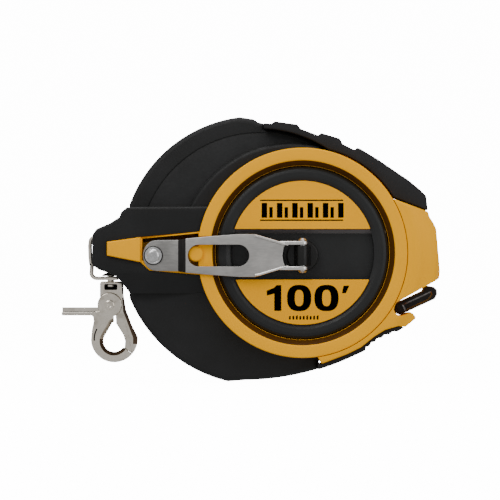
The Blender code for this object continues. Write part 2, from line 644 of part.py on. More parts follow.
def build_arm():
    bm = bmesh.new()
    outline = arm_outline()
    loops = [[bm.verts.new((x, -depth, z)) for x, z in outline] for depth in (ARM_BACK, ARM_BACK + SHEET)]
    bm.faces.new(loops[0])
    bm.faces.new(loops[1][::-1])
    for i in range(len(outline)):
        j = (i + 1) % len(outline)
        bm.faces.new((loops[0][i], loops[1][i], loops[1][j], loops[0][j]))
    for x in (-71.6, -67.6):
        everything = bm.verts[:] + bm.edges[:] + bm.faces[:]
        bmesh.ops.bisect_plane(bm, geom=everything, plane_co=(x, 0, 0), plane_no=(1, 0, 0))
    for vert in bm.verts:
        if vert.co.x < -71.5:
            vert.co.y += JOGGLE
    arm = mesh_object("crank_arm", bm, FOLD, "arm_steel")
    slot = arc(-37.05, ARM_Z, 6.3, -90, 90, 10) + arc(-59.9, ARM_Z, 6.3, 90, 270, 10)
    cut(arm, prism("arm_slot", slot, 36, 46, None))
    ear = [(-13.0, ARM_BACK), (-13.0, ARM_BACK + SHEET), (-5.0, PIN_DEPTH + 2.9)]
    ear += [(x, PIN_DEPTH + z) for x, z in arc(0, 0, 3.1, 90, -90, 8)] + [(-5.0, PIN_DEPTH - 2.9)]
    for name, low in (("upper_ear", ARM_Z + 6.2), ("lower_ear", ARM_Z - 8.4)):
        fuse(arm, prism(name, ear, low, low + 2.2, None, place=upright))
    cut(arm, cylinder("ear_bore", 0, PIN_DEPTH, 1.8 + GAP, -20, 20, steps=24, axis="Z"))
    cut(arm, cylinder("knob_screw_hole", KNOB_X, ARM_Z, 2.2 + GAP, 36, 44, steps=24))


def build_knob():
    face = ARM_BACK - JOGGLE + SHEET  # front of the arm's stepped end
    screw = [
        (0, KNOB_BACK + 0.9), (1.7, KNOB_BACK + 0.9), (2.2, KNOB_BACK + 1.4), (2.2, face + GAP),
        (5.4, face + GAP), (5.4, face + 0.8), (4.6, face + 1.6), (3.0, face + 2.2), (1.5, face + 2.4),
        (1.5, face + 1.4), (0, face + 1.4),
    ]
    turned("knob_screw", screw, KNOB_X, ARM_Z, FOLD, "bright_steel", steps=20)
    knob = [
        (2.2 + GAP, KNOB_BACK), (4.6, KNOB_BACK), (KNOB_R, KNOB_BACK + 1.2), (KNOB_R, KNOB_BACK + 3.0),
        (5.2, 32.6), (5.2, 34.0), (KNOB_R, KNOB_FRONT - 1.2), (5.2, KNOB_FRONT), (2.2 + GAP, KNOB_FRONT),
    ]
    turned("knob", knob, KNOB_X, ARM_Z, KNOB, "black_plastic", steps=24)


# Tape end.


def build_tape():
    low, high = TAPE_DEPTH - TAPE_WIDTH / 2, TAPE_DEPTH + TAPE_WIDTH / 2
    half = TAPE_THICK / 2
    blade = tape_box("tape_blade", (2.0, 73.0), (-half, half), (low, high), TAPE, "blade_steel")
    hook_low, hook_high = TAPE_DEPTH - 6.5, TAPE_DEPTH + 6.5
    start, end, r = 60.6, 84.8, 3.7
    body = arc(start, 0, r, 90, 270, 10) + [(end - 3.4, -r), (end - 0.9, -1.8), (end, 0.6), (end - 0.8, 2.9)]
    body += [(82.0, 4.4), (80.8, 5.1), (79.2, 5.3), (77.6, 4.7), (77.0, r)]
    hook = prism("end_hook", tape_outline(body), hook_low, hook_high, TAPE, "dark_steel")
    cut(hook, tape_box("blade_slot", (55, 75), (-half - GAP, half + GAP), (low - GAP, high + GAP)))
    cut(hook, tape_box("hook_gap", (66.5, 90), (-1.5, 1.5), (0, 14.0)))
    holes = []
    for i, t in enumerate((61.5, 70.0)):
        cx, cz = along_tape(t, 0)
        turn = Matrix.Rotation(-TAPE_ANGLE, 4, "Y")
        for name, profile, look in (
            (f"hook_rivet_{i + 1}", [(0, -3.4), (1.9, -3.4), (1.1, -2.5), (1.1, 2.5), (1.9, 3.4), (0, 3.4)],
             "bright_steel"),
            (f"rivet_hole_{i + 1}", [(0, -5), (2.3, -5), (2.3, -3.3), (1.4, -2.4), (1.4, 2.4), (2.3, 3.3),
                                     (2.3, 5), (0, 5)], None),
        ):
            piece = turned(name, profile, 0, 0, None, look, steps=12, axis="Z")
            piece.data.transform(turn)
            piece.data.transform(Matrix.Translation(Vector((cx, -TAPE_DEPTH, cz)) * MM))
            if look:
                piece.data.transform(Matrix.Translation(-Vector(TAPE["place"])))
                piece.parent = TAPE
            else:
                holes.append(piece)
    cut(hook, *holes)
    cut(blade, *holes)


# Bail and snap hook.


def ribbon(points, thick):
    """The outline of a strip of that thickness along a line of points."""
    left, right = [], []
    for i, here in enumerate(points):
        before, after = points[max(i - 1, 0)], points[min(i + 1, len(points) - 1)]
        along = (Vector(after) - Vector(before)).normalized()
        normal = Vector((-along.y, along.x)) * (thick / 2)
        left.append(tuple(Vector(here) + normal))
        right.append(tuple(Vector(here) - normal))
    return left + right[::-1]


def build_bail():
    x, z = BAIL_PIVOT
    eye = arc(x, z, 2.75, -60, 125, 12)
    line = eye + [(-120.6, 8.9), (-122.3, 8.0), (-123.2, 5.6), (-123.3, 1.0), (-122.6, -8.5)]
    line += arc(-119.2, -11.5, 3.4, 190, 270, 5) + [(-107.0, -14.9)]
    low, high = SNAP_DEPTH - STRAP_HALF, SNAP_DEPTH + STRAP_HALF
    strap = prism("bail_strap", ribbon(line, STRAP), low, high, BAIL, "bright_steel")
    cut(strap, cylinder("post_hole", SWIVEL_X, SNAP_DEPTH, POST_R + GAP, -20, -10, steps=24, axis="Z"))
    pin = [(0, 6.6), (1.6, 6.6), (1.6, 33.4), (0, 33.4)]
    turned("bail_pin", pin, x, z, CASE, "bright_steel", steps=20)


# The hook's two halves meet on this slanting line, inner end first.
SEAM_IN = (-103.2, -55.2)
SEAM_OUT = (-98.8, -58.9)
BOWL = (-109.2, -50.1, 13.6)
EYE = (-109.4, -51.4, 6.3)


def frame_outline():
    """The fixed half: a yoke over the post, the hub behind the jaw and the right-hand limb."""
    hx, hz = SNAP_HEAD
    side = [(-103.9, -24.5), (-102.5, -33.2), (-99.2, -41.9)]
    inner = [(-102.9, -51.4), (-103.9, -47.9), (-108.2, -41.0), (-108.2, -38.8)]
    yoke = [(-117.6, -26.3), (-117.6, -17.6), (-116.6, -16.6), (-104.9, -16.6), (-103.9, -17.6)]
    outline = yoke + side + arc(*BOWL, 5, -39.5, 8) + [SEAM_IN] + inner
    return outline + arc(hx, hz, HEAD_R - 0.2, -60, -202, 11)


def jaw_outline():
    """The moving half: round head, thumb lever, left-hand limb and the bowl up to the seam."""
    hx, hz = SNAP_HEAD
    head = arc(hx, hz, HEAD_R, -71, 208, 26)
    lever = [
        (-120.0, -34.1), (-138.9, -34.1), (-139.8, -34.6), (-139.8, -36.0), (-139.2, -36.5), (-122.2, -36.5),
    ]
    limb = [(-121.4, -37.6), (-121.2, -40.0), (-122.2, -44.8)]
    seam = [(SEAM_OUT[0] - GAP, SEAM_OUT[1] - GAP), (SEAM_IN[0] - GAP, SEAM_IN[1] - GAP)]
    inside = arc(*EYE, -38, -210, 12) + [(-110.4, -40.6), (-109.4, -40.2)]
    return head + lever + limb + arc(*BOWL, 183, 316, 16) + seam + inside


def build_snap():
    top = POST_TOP
    post = [
        (0, top + 2.2), (2.4, top + 2.0), (4.2, top + 1.3), (5.1, top + 0.5), (5.2, top), (POST_R, top),
        (POST_R, -18.5), (3.0, -18.5), (3.0, -19.6), (2.2, -20.3), (0, -20.3),
    ]
    turned("swivel_post", post[::-1], SWIVEL_X, SNAP_DEPTH, SWIVEL, "bright_steel", steps=24, axis="Z")

    hx, hz = SNAP_HEAD
    low, high = SNAP_DEPTH - SNAP_HALF, SNAP_DEPTH + SNAP_HALF
    body = prism("snap_frame", frame_outline(), 0, 0, SWIVEL, "bright_steel", eased(low, high, 0.8, 0.8))
    cut(body, cylinder("jaw_clear", hx, hz, HEAD_R + GAP, LAP - GAP / 2, 30, steps=40))
    window = [(-115.0, -21.6), (-107.4, -21.6), (-107.4, -18.2), (-115.0, -18.2)]
    cut(body, prism("post_window", window, 10, 30, None))
    cut(body, cylinder("post_bore", SWIVEL_X, SNAP_DEPTH, POST_R + GAP, -19, -15, steps=24, axis="Z"))
    groove = [(2.5, LAP - 1.8), (4.6, LAP - 1.8), (4.6, LAP + 1), (2.5, LAP + 1)]
    cut(body, turned("spring_groove", groove, hx, hz, None, steps=24))
    cut(body, cylinder("frame_rivet_hole", hx, hz, JAW_RIVET_R + GAP, 10, 30, steps=20))

    rivet = [
        (0, low - 1.1), (1.8, low - 1.0), (2.8, low - GAP), (JAW_RIVET_R, low - GAP), (JAW_RIVET_R, high + GAP),
        (2.8, high + GAP), (1.8, high + 1.0), (0, high + 1.1),
    ]
    turned("jaw_rivet", rivet, hx, hz, SWIVEL, "bright_steel", steps=20)

    jaw = prism("snap_jaw", jaw_outline(), 0, 0, JAW, "bright_steel", eased(low, high, 0.8, 0.8))
    rest = box("thumb_rest", (-139.5, -118.2), (low + 1.0, LAP + 1.0), (-36.0, -31.7))
    fuse(jaw, rest)
    cut(jaw, cylinder("hub_clear", hx, hz, HEAD_R + 0.1, 10, LAP + GAP / 2, steps=40))
    cut(jaw, cylinder("jaw_rivet_hole", hx, hz, JAW_RIVET_R + GAP, 10, 30, steps=20))

    wire = ribbon(arc(hx, hz, 3.5, -150, 170, 20), 0.8)
    prism("jaw_spring", wire, LAP - 1.4, LAP - 0.6, SWIVEL, "dark_steel")


def main():
    rear, front = build_shells()
    build_nose_block()
    bezel = build_bezel()
    housing_rear, housing_front = build_housing()
    build_mouth_guide()
    build_grips()
    build_case_screws(rear, front, housing_rear, housing_front, bezel)
    build_drum()
    build_axle()
    build_crank_disc()
    build_arm()
    build_knob()
    build_tape()
    build_bail()
    build_snap()


main()
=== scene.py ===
"""Looks for the closed-case tape reel: finer skins over the CAD frame, materials, light, camera.

Shapes are drawn in millimetres as seen from the front, as (x, z) outlines, and a depth is the
distance in front of the rear face, so a point is at y = -depth.
"""

import math

import bmesh
import bpy
from mathutils import Matrix, Vector


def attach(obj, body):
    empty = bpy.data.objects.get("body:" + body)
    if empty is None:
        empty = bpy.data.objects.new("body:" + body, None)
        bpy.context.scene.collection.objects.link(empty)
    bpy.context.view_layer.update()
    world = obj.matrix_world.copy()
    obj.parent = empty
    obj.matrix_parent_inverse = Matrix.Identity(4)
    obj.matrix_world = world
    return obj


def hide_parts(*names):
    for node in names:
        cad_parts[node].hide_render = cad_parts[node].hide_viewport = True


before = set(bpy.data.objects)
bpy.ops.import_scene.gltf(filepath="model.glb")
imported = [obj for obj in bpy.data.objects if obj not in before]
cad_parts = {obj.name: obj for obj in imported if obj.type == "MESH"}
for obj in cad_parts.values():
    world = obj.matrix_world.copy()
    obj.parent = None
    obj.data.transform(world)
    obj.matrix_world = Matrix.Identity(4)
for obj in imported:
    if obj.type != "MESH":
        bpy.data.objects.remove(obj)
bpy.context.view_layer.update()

MM = 0.001
GAP = 0.3
DRUM_X = -25.0
ARM_Z = -1.6
FRONT = 40.0
SPLIT = 17.0
RING_R = 60.7
SEAM_R = 69.7
PLATE = (40.5, 42.1)  # back and front of the crank arm's sheet
PIN_DEPTH = 41.3
KNOB_X = -86.1
SNAP_DEPTH = 20.0
SWIVEL_X = -111.3
SNAP_HEAD = (-111.9, -30.3)
SNAP_HALF = 3.5
HEAD_R = 7.1
LAP = 20.0  # depth where the jaw's head laps the frame's
STRAP_HALF = 5.4  # half the bail strap's width
STRAP = 2.1  # the bail strap's thickness
RELIEF_R = 9.4  # hollow in the nose round the swivel
POST_TOP = -13.6  # height of the seat under the swivel post's dome
RING_CLEAR = 61.0  # radius that the case's pieces leave free for the bezel ring
SHELL_CLEAR = 72.3  # radius that the end housing leaves free for the drum shell
KEEL_FRONT = 37.6  # front face of the lower grip strip
HOLLOW_CLEAR = 74.5  # radius about the drum where the end housing's hollow begins
BAIL_PIVOT = (-116.6, 5.2)
TAPE_ANGLE = math.radians(25.0)
TAPE_RHO = 64.0  # drum axis to blade; the CAD's blade runs at 63.925
TAPE_DEPTH = 10.25


# Node materials.


class Nodes:
    """A short way to lay out one material's nodes."""

    def __init__(self, name):
        self.material = bpy.data.materials.new(name)
        self.material.use_nodes = True
        self.tree = self.material.node_tree
        self.shader = self.tree.nodes["Principled BSDF"]
        self.place = self.add("ShaderNodeTexCoord").outputs["Object"]

    def add(self, kind, **values):
        node = self.tree.nodes.new(kind)
        for key, value in values.items():
            setattr(node, key, value)
        return node

    def put(self, socket, value):
        if isinstance(value, bpy.types.NodeSocket):
            self.tree.links.new(value, socket)
        else:
            socket.default_value = value

    def math(self, operation, a, b=0.0, clamp=False):
        node = self.add("ShaderNodeMath", operation=operation, use_clamp=clamp)
        self.put(node.inputs[0], a)
        self.put(node.inputs[1], b)
        return node.outputs[0]

    def noise(self, scale, detail=3.0, stretch=(1, 1, 1)):
        mapping = self.add("ShaderNodeMapping")
        mapping.inputs["Scale"].default_value = stretch
        self.put(mapping.inputs["Vector"], self.place)
        node = self.add("ShaderNodeTexNoise")
        node.inputs["Scale"].default_value = scale
        node.inputs["Detail"].default_value = detail
        self.put(node.inputs["Vector"], mapping.outputs[0])
        return node.outputs["Fac"]

    def spread(self, value, low, high, start=0.3, end=0.7):
        """The value between start and end laid over low to high."""
        node = self.add("ShaderNodeMapRange")
        for socket, amount in zip(node.inputs[:5], (value, start, end, low, high)):
            self.put(socket, amount)
        return node.outputs[0]

    def mix(self, factor, a, b):
        node = self.add("ShaderNodeMix", data_type="RGBA")
        self.put(node.inputs[0], factor)
        self.put(node.inputs[6], a if isinstance(a, bpy.types.NodeSocket) else (*a, 1))
        self.put(node.inputs[7], b if isinstance(b, bpy.types.NodeSocket) else (*b, 1))
        return node.outputs[2]

    def bump(self, height, distance, strength=1.0, under=None):
        node = self.add("ShaderNodeBump")
        node.inputs["Distance"].default_value = distance
        node.inputs["Strength"].default_value = strength
        self.put(node.inputs["Height"], height)
        if under:
            self.put(node.inputs["Normal"], under)
        return node.outputs[0]

    def done(self, colour, roughness, metallic=0.0, normal=None, **more):
        self.put(self.shader.inputs["Base Color"], colour)
        self.put(self.shader.inputs["Roughness"], roughness)
        self.put(self.shader.inputs["Metallic"], metallic)
        if normal:
            self.put(self.shader.inputs["Normal"], normal)
        for key, value in more.items():
            self.put(self.shader.inputs[key], value)
        return self.material


def moulded(name, dark, light, roughness, grain=0.03, grain_scale=2600, specular=0.22):
    """Moulded plastic or rubber: slow tone drift, a fine spark-eroded grain and rubbed patches."""
    n = Nodes(name)
    tone = n.spread(n.noise(38, 4), 0, 1)
    colour = n.mix(tone, dark, light)
    rough = n.spread(n.noise(240, 5), roughness - 0.05, roughness + 0.07)
    fine = n.bump(n.noise(grain_scale, 2), grain * MM, 0.8)
    slow = n.bump(n.noise(120, 2), 0.05 * MM, 0.35, fine)
    return n.done(colour, rough, 0.0, slow, **{"Specular IOR Level": specular})


def yellow_plastic(name, dark, light):
    """Satin yellow moulding with a faint drift in tone."""
    n = Nodes(name)
    colour = n.mix(n.spread(n.noise(30, 3), 0, 1), dark, light)
    speck = n.spread(n.noise(1400, 2), 0.42, 0.52)
    fine = n.bump(n.noise(3200, 2), 0.02 * MM, 0.6)
    slow = n.bump(n.noise(70, 2), 0.08 * MM, 0.3, fine)
    return n.done(colour, speck, 0.0, slow, **{"Specular IOR Level": 0.12})


def metal(name, dark, light, roughness, stretch=(1, 1, 1), scratch=0.35, pits=0.0, stain=None):
    """Plated or rolled metal: drawn lines along the stretch, hairline scratches and dull spots."""
    n = Nodes(name)
    drawn = n.noise(900, 4, stretch)
    tone = n.math("MULTIPLY", n.math("ADD", drawn, n.noise(60, 3)), 0.5)
    colour = n.mix(n.spread(tone, 0, 1, 0.38, 0.62), dark, light)
    if stain:
        colour = n.mix(n.spread(n.noise(180, 5), 0, 0.5, 0.56, 0.7), colour, stain)
    dull = n.spread(n.noise(140, 5), -0.05, 0.1)
    hair = n.spread(n.noise(2600, 2, (stretch[0], stretch[1] * 0.4, stretch[2] * 3)), 0, 0.12)
    rough = n.math("ADD", n.math("ADD", dull, roughness), n.math("MULTIPLY", hair, scratch), True)
    fine = n.bump(n.noise(1500, 3, stretch), 0.012 * MM, 0.6)
    slow = n.bump(n.noise(300, 2), (0.02 + pits) * MM, 0.4, fine)
    return n.done(colour, rough, 1.0, slow)


def printed(name, colour, shade):
    """Printed film: flat ink with a faint dot screen."""
    n = Nodes(name)
    dots = n.add("ShaderNodeTexVoronoi")
    dots.inputs["Scale"].default_value = 4200
    n.put(dots.inputs["Vector"], n.place)
    ink = n.mix(n.spread(dots.outputs["Distance"], 0, 0.35, 0.0, 0.6), colour, shade)
    rough = n.spread(n.noise(300, 3), 0.38, 0.5)
    return n.done(ink, rough, 0.0, n.bump(n.noise(1800, 2), 0.008 * MM, 0.5), **{"Specular IOR Level": 0.1})


RUBBER = moulded("rubber_skin", (0.011, 0.011, 0.011), (0.0155, 0.0155, 0.016), 0.56, 0.05, 1900)
GRIP = moulded("grip_rubber", (0.014, 0.0135, 0.014), (0.019, 0.0185, 0.0195), 0.62, 0.08, 1500)
NOSE = moulded("nose_plastic", (0.009, 0.009, 0.009), (0.0125, 0.0125, 0.013), 0.5, 0.03, 2600)
DISC = moulded("disc_plastic", (0.011, 0.011, 0.0112), (0.0155, 0.016, 0.016), 0.42, 0.02, 3000, 0.3)
BOSS = moulded("boss_plastic", (0.006, 0.0055, 0.005), (0.009, 0.0085, 0.008), 0.34, 0.02, 3000, 0.3)
# painted highlight: a lighter grey for the disc channel's upper chamfer, standing in for light caught on the
# slope
CHANNEL_HIGHLIGHT = moulded("channel_painted_highlight", (0.11, 0.1, 0.1), (0.15, 0.14, 0.14), 0.4)
GREY = moulded("drum_plastic", (0.12, 0.12, 0.13), (0.17, 0.17, 0.18), 0.5)
ACETAL = moulded("acetal", (0.62, 0.62, 0.58), (0.75, 0.75, 0.71), 0.4)
YELLOW = yellow_plastic("yellow_moulding", (0.97, 0.43, 0.0), (1.0, 0.455, 0.0))
# painted shade: a dark brown copy of the yellow moulding for walls and floors that lie in recesses
RECESS_SHADE = yellow_plastic("recess_painted_shade", (0.05, 0.018, 0.001), (0.08, 0.028, 0.002))
# painted shade: a brown copy of the yellow moulding for the pocket's upper wall, standing in for its shadow
POCKET_WALL_SHADE = yellow_plastic("pocket_wall_painted_shade", (0.34, 0.12, 0.002), (0.42, 0.15, 0.002))
LABEL = printed("label_film", (0.97, 0.43, 0.0), (0.93, 0.40, 0.0))
INK = printed("label_ink", (0.015, 0.014, 0.011), (0.022, 0.02, 0.016))
ARM_STEEL = metal("arm_steel", (0.4, 0.39, 0.375), (0.5, 0.485, 0.465), 0.4, (0.25, 1, 1), 0.12)
# painted highlight: a brighter, glossier copy of the arm steel for the hinge ears and the rolled lips along
# the arm's edges
ARM_EDGE_HIGHLIGHT = metal("arm_edge_painted_highlight", (0.62, 0.6, 0.57), (0.9, 0.88, 0.85), 0.2, (0.1, 1, 1))
# painted shade: darker copies of the arm steel, one for the sunk end past the step and a near-black one for
# the steep step band
ARM_END_SHADE = metal("arm_end_painted_shade", (0.28, 0.275, 0.265), (0.38, 0.37, 0.355), 0.4, (0.25, 1, 1), 0.12)
ARM_STEP_SHADE = metal("arm_step_painted_shade", (0.02, 0.019, 0.019), (0.035, 0.033, 0.032), 0.45, (1, 1, 0.1))
ZINC = metal("zinc_screw", (0.5, 0.5, 0.5), (0.72, 0.72, 0.72), 0.22)
NICKEL = metal("nickel_plate", (0.72, 0.66, 0.57), (0.86, 0.8, 0.7), 0.16, pits=0.03, stain=(0.4, 0.35, 0.28))
# painted shade: a dark brown copy of the nickel plate for sloped faces that lie in shade
NICKEL_SHADE = metal("nickel_side_painted_shade", (0.05, 0.035, 0.025), (0.14, 0.09, 0.055), 0.2, pits=0.03)
# painted shade: a near-black copy of the nickel plate for windows, grooves and steps
NICKEL_GROOVE_SHADE = metal("nickel_groove_painted_shade", (0.015, 0.014, 0.012), (0.03, 0.027, 0.023), 0.4)
HOOK = metal("black_hook", (0.02, 0.019, 0.018), (0.035, 0.032, 0.03), 0.24, (1, 0.2, 1))
# painted highlight: a light grey copy of the black hook steel for the panel's slanted walls
HOOK_PANEL_HIGHLIGHT = metal("hook_panel_painted_highlight", (0.2, 0.19, 0.185), (0.36, 0.34, 0.33), 0.3)
GALVANISED = metal("dark_spring", (0.12, 0.12, 0.12), (0.2, 0.2, 0.2), 0.3)
BLADE = printed("tape_lacquer", (0.8, 0.5, 0.03), (0.7, 0.42, 0.02))


# Mesh tools.


def arc(cx, cz, r, start, end, steps):
    """Points on an arc; angles in degrees, anticlockwise from +X as seen from the front."""
    angles = [math.radians(start + (end - start) * i / steps) for i in range(steps + 1)]
    return [(cx + r * math.cos(a), cz + r * math.sin(a)) for a in angles]


def circle(cx, cz, r, steps=128):
    return arc(cx, cz, r, 0, 360 - 360 / steps, steps - 1)


def area(outline):
    ends = zip(outline, outline[1:] + outline[:1])
    return sum(a[0] * b[1] - b[0] * a[1] for a, b in ends) / 2


def inset(outline, by):
    made = []
    for i, here in enumerate(outline):
        before, after = Vector(outline[i - 1]), Vector(outline[(i + 1) % len(outline)])
        here = Vector(here)
        first, second = (here - before).normalized(), (after - here).normalized()
        n1, n2 = Vector((-first.y, first.x)), Vector((-second.y, second.x))
        made.append(here + (n1 + n2) * (by / max(0.35, 1 + n1.dot(n2))))
    return [(p.x, p.y) for p in made]


def softened(outline, r, steps=3):
    """The outline with each corner that turns sharply rounded by that radius."""
    made = []
    for i, here in enumerate(outline):
        before, after = Vector(outline[i - 1]), Vector(outline[(i + 1) % len(outline)])
        here = Vector(here)
        back, ahead = before - here, after - here
        turn = math.pi - back.angle(ahead)
        reach = min(r * math.tan(turn / 2), 0.45 * back.length, 0.45 * ahead.length)
        if turn < math.radians(14):
            made.append(tuple(here))
            continue
        start, end = here + back.normalized() * reach, here + ahead.normalized() * reach
        for k in range(steps + 1):
            t = k / steps
            point = start * (1 - t) ** 2 + here * (2 * t * (1 - t)) + end * t**2
            made.append(tuple(point))
    return made


def rounded(low, high, back, front, steps=5):
    """Levels of (depth, inset) that round a solid's back and front edges."""
    quarter = [math.radians(90 * k / steps) for k in range(steps + 1)]
    levels = [(low + back * (1 - math.sin(a)), back * (1 - math.cos(a))) for a in reversed(quarter)]
    ends = [(high - front * (1 - math.sin(a)), front * (1 - math.cos(a))) for a in quarter]
    return (levels if back else [(low, 0.0)]) + (ends if front else [(high, 0.0)])


class Scratch:
    """Cutters and fused shapes, which are deleted once their solids are settled."""

    made = []


def mesh_object(name, bm, material=None, angle=35):
    bmesh.ops.remove_doubles(bm, verts=bm.verts[:], dist=1e-5)
    bmesh.ops.recalc_face_normals(bm, faces=bm.faces[:])
    bm.transform(Matrix.Scale(MM, 4))
    mesh = bpy.data.meshes.new(name)
    bm.to_mesh(mesh)
    bm.free()
    obj = bpy.data.objects.new(name, mesh)
    bpy.context.scene.collection.objects.link(obj)
    if material:
        mesh.materials.append(material)
        mesh.shade_smooth()
        mesh.set_sharp_from_angle(angle=math.radians(angle))
    else:
        Scratch.made.append(obj)
    return obj


def facing(u, v, w):
    """Places an (x, z) outline so that it runs forward, along -Y."""
    return u, -w, v


def upright(u, v, w):
    """Places an (x, depth) outline so that it runs along Z."""
    return u, -v, w


def lengthwise(u, v, w):
    """Places a (z, depth) outline so that it runs along X."""
    return w, -v, u


def stack(name, rings, material=None, place=None):
    place = place or facing
    bm = bmesh.new()
    loops = [[bm.verts.new(place(u, v, w)) for u, v in ring] for ring, w in rings]
    for low, high in zip(loops, loops[1:]):
        for i in range(len(low)):
            j = (i + 1) % len(low)
            bm.faces.new((low[i], low[j], high[j], high[i]))
    bm.faces.new(loops[0][::-1])
    bm.faces.new(loops[-1])
    return mesh_object(name, bm, material)


def prism(name, outline, low, high, material=None, levels=None, place=None, soft=0.0):
    """An outline run through levels of (depth, inset), its sharp corners softened by that radius."""
    if area(outline) < 0:
        outline = outline[::-1]
    rings = []
    for depth, by in levels or [(low, 0.0), (high, 0.0)]:
        ring = inset(outline, by) if by else outline
        rings.append((softened(ring, max(soft - by, 0.1 * soft)) if soft else ring, depth))
    return stack(name, rings, material, place)


def turned(name, profile, cx, cz, material=None, steps=160, axis="Y"):
    bm = bmesh.new()
    rows = []
    for r, w in profile:
        row = []
        for i in range(steps if r > 0 else 1):
            a = 2 * math.pi * i / steps
            u, v = r * math.cos(a), r * math.sin(a)
            point = (cx + u, -w, cz + v) if axis == "Y" else (cx + u, v - cz, w)
            row.append(bm.verts.new(point))
        rows.append(row)
    for one, two in zip(rows, rows[1:] + rows[:1]):
        if len(one) == 1 and len(two) == 1:
            continue
        for i in range(steps):
            j = (i + 1) % steps
            quad = [one[i % len(one)], one[j % len(one)], two[j % len(two)], two[i % len(two)]]
            corners = [v for k, v in enumerate(quad) if v not in quad[:k]]
            if len(corners) > 2:
                bm.faces.new(corners)
    return mesh_object(name, bm, material)


def cylinder(name, cx, cz, r, low, high, material=None, steps=96, axis="Y"):
    return turned(name, [(0, low), (r, low), (r, high), (0, high)], cx, cz, material, steps, axis)


def box(name, x, depth, z, material=None):
    return prism(name, [(x[0], z[0]), (x[1], z[0]), (x[1], z[1]), (x[0], z[1])], *depth, material)


def fillet(profile, r, steps=4):
    """A turned profile's corners rounded; a point on the axis stays."""
    made = []
    for i, here in enumerate(profile):
        before, after = profile[i - 1], profile[(i + 1) % len(profile)]
        if here[0] <= 0 or i in (0, len(profile) - 1):
            made.append(here)
            continue
        p, b, a = Vector(here), Vector(before), Vector(after)
        reach = min(r, 0.45 * (b - p).length, 0.45 * (a - p).length)
        start, end = p + (b - p).normalized() * reach, p + (a - p).normalized() * reach
        for k in range(steps + 1):
            t = k / steps
            made.append(tuple(start * (1 - t) ** 2 + p * (2 * t * (1 - t)) + end * t**2))
    return made


def ribbon(points, thick):
    """The outline of a strip of that thickness laid along the points."""
    left, right = [], []
    for i, here in enumerate(points):
        before, after = points[max(i - 1, 0)], points[min(i + 1, len(points) - 1)]
        along = (Vector(after) - Vector(before)).normalized()
        normal = Vector((-along.y, along.x)) * (thick / 2)
        left.append(tuple(Vector(here) + normal))
        right.append(tuple(Vector(here) - normal))
    return left + right[::-1]


def combine(obj, operation, others):
    for other in others:
        modifier = obj.modifiers.new(operation.lower(), "BOOLEAN")
        modifier.operation = operation
        modifier.object = other
        modifier.solver = "MANIFOLD"
    return obj


def cut(obj, *others):
    return combine(obj, "DIFFERENCE", others)


def fuse(obj, *others):
    return combine(obj, "UNION", others)


def settle(obj, bevel=0.0, angle=35, segments=3):
    """Applies the Booleans and rounds the edges they left."""
    graph = bpy.context.evaluated_depsgraph_get()
    mesh = bpy.data.meshes.new_from_object(obj.evaluated_get(graph))
    obj.modifiers.clear()
    obj.data = mesh
    if not mesh.polygons:
        raise ValueError(f"{obj.name} is empty after its Booleans")
    mesh.shade_smooth()
    if bevel:
        modifier = obj.modifiers.new("edge", "BEVEL")
        modifier.width = bevel * MM
        modifier.segments = segments
        modifier.limit_method = "ANGLE"
        modifier.angle_limit = math.radians(angle)
        modifier.harden_normals = True
    mesh.set_sharp_from_angle(angle=math.radians(angle))
    return obj


def tint(obj, material, chosen):
    """Gives that material to the faces whose middle (x, depth, z in mm) and normal are chosen."""
    obj.data.materials.append(material)
    index = len(obj.data.materials) - 1
    for face in obj.data.polygons:
        x, y, z = face.center
        if chosen(x / MM, -y / MM, z / MM, face.normal):
            face.material_index = index


def show(obj, body, slot, *nodes):
    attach(obj, body)
    if nodes:
        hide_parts(*nodes)
    return obj


# Case outlines, as the CAD has them but with finer arcs.

UPPER_ARC = (-26.6, 0.9, 78.6)
LOWER_LEFT_ARC = (-24.2, 5.5, 82.5)
KEEL_ARC = (-34.3, 75.8, 149.8)
STRIP_X = 9.3


def keel(x):
    return KEEL_ARC[1] - math.sqrt(KEEL_ARC[2] ** 2 - (x - KEEL_ARC[0]) ** 2)


def keel_angle(x):
    return -math.degrees(math.acos((x - KEEL_ARC[0]) / KEEL_ARC[2]))


def shell_outline():
    left = arc(*LOWER_LEFT_ARC, -157.3, -103.3, 36)
    bottom = arc(*KEEL_ARC, keel_angle(-33.0), keel_angle(STRIP_X), 14)
    right = arc(DRUM_X, 0, 72.0, -61.6, 87.6, 72)
    step = [(-22.0, 75.0), (-25.7, 75.9), (-27.0, 76.9), (-28.6, 77.7)]
    top = arc(*UPPER_ARC, 97, 159.7, 40)
    return left + bottom + right + step + top


def nose_strip():
    return [(-113.0, -1.6), (-93.4, -5.5), (-88.5, -10.2), (-57.0, -12.9), (-57.0, 12.6),
            (-62.0, 12.0), (-93.4, 9.1), (-113.0, 6.4)]


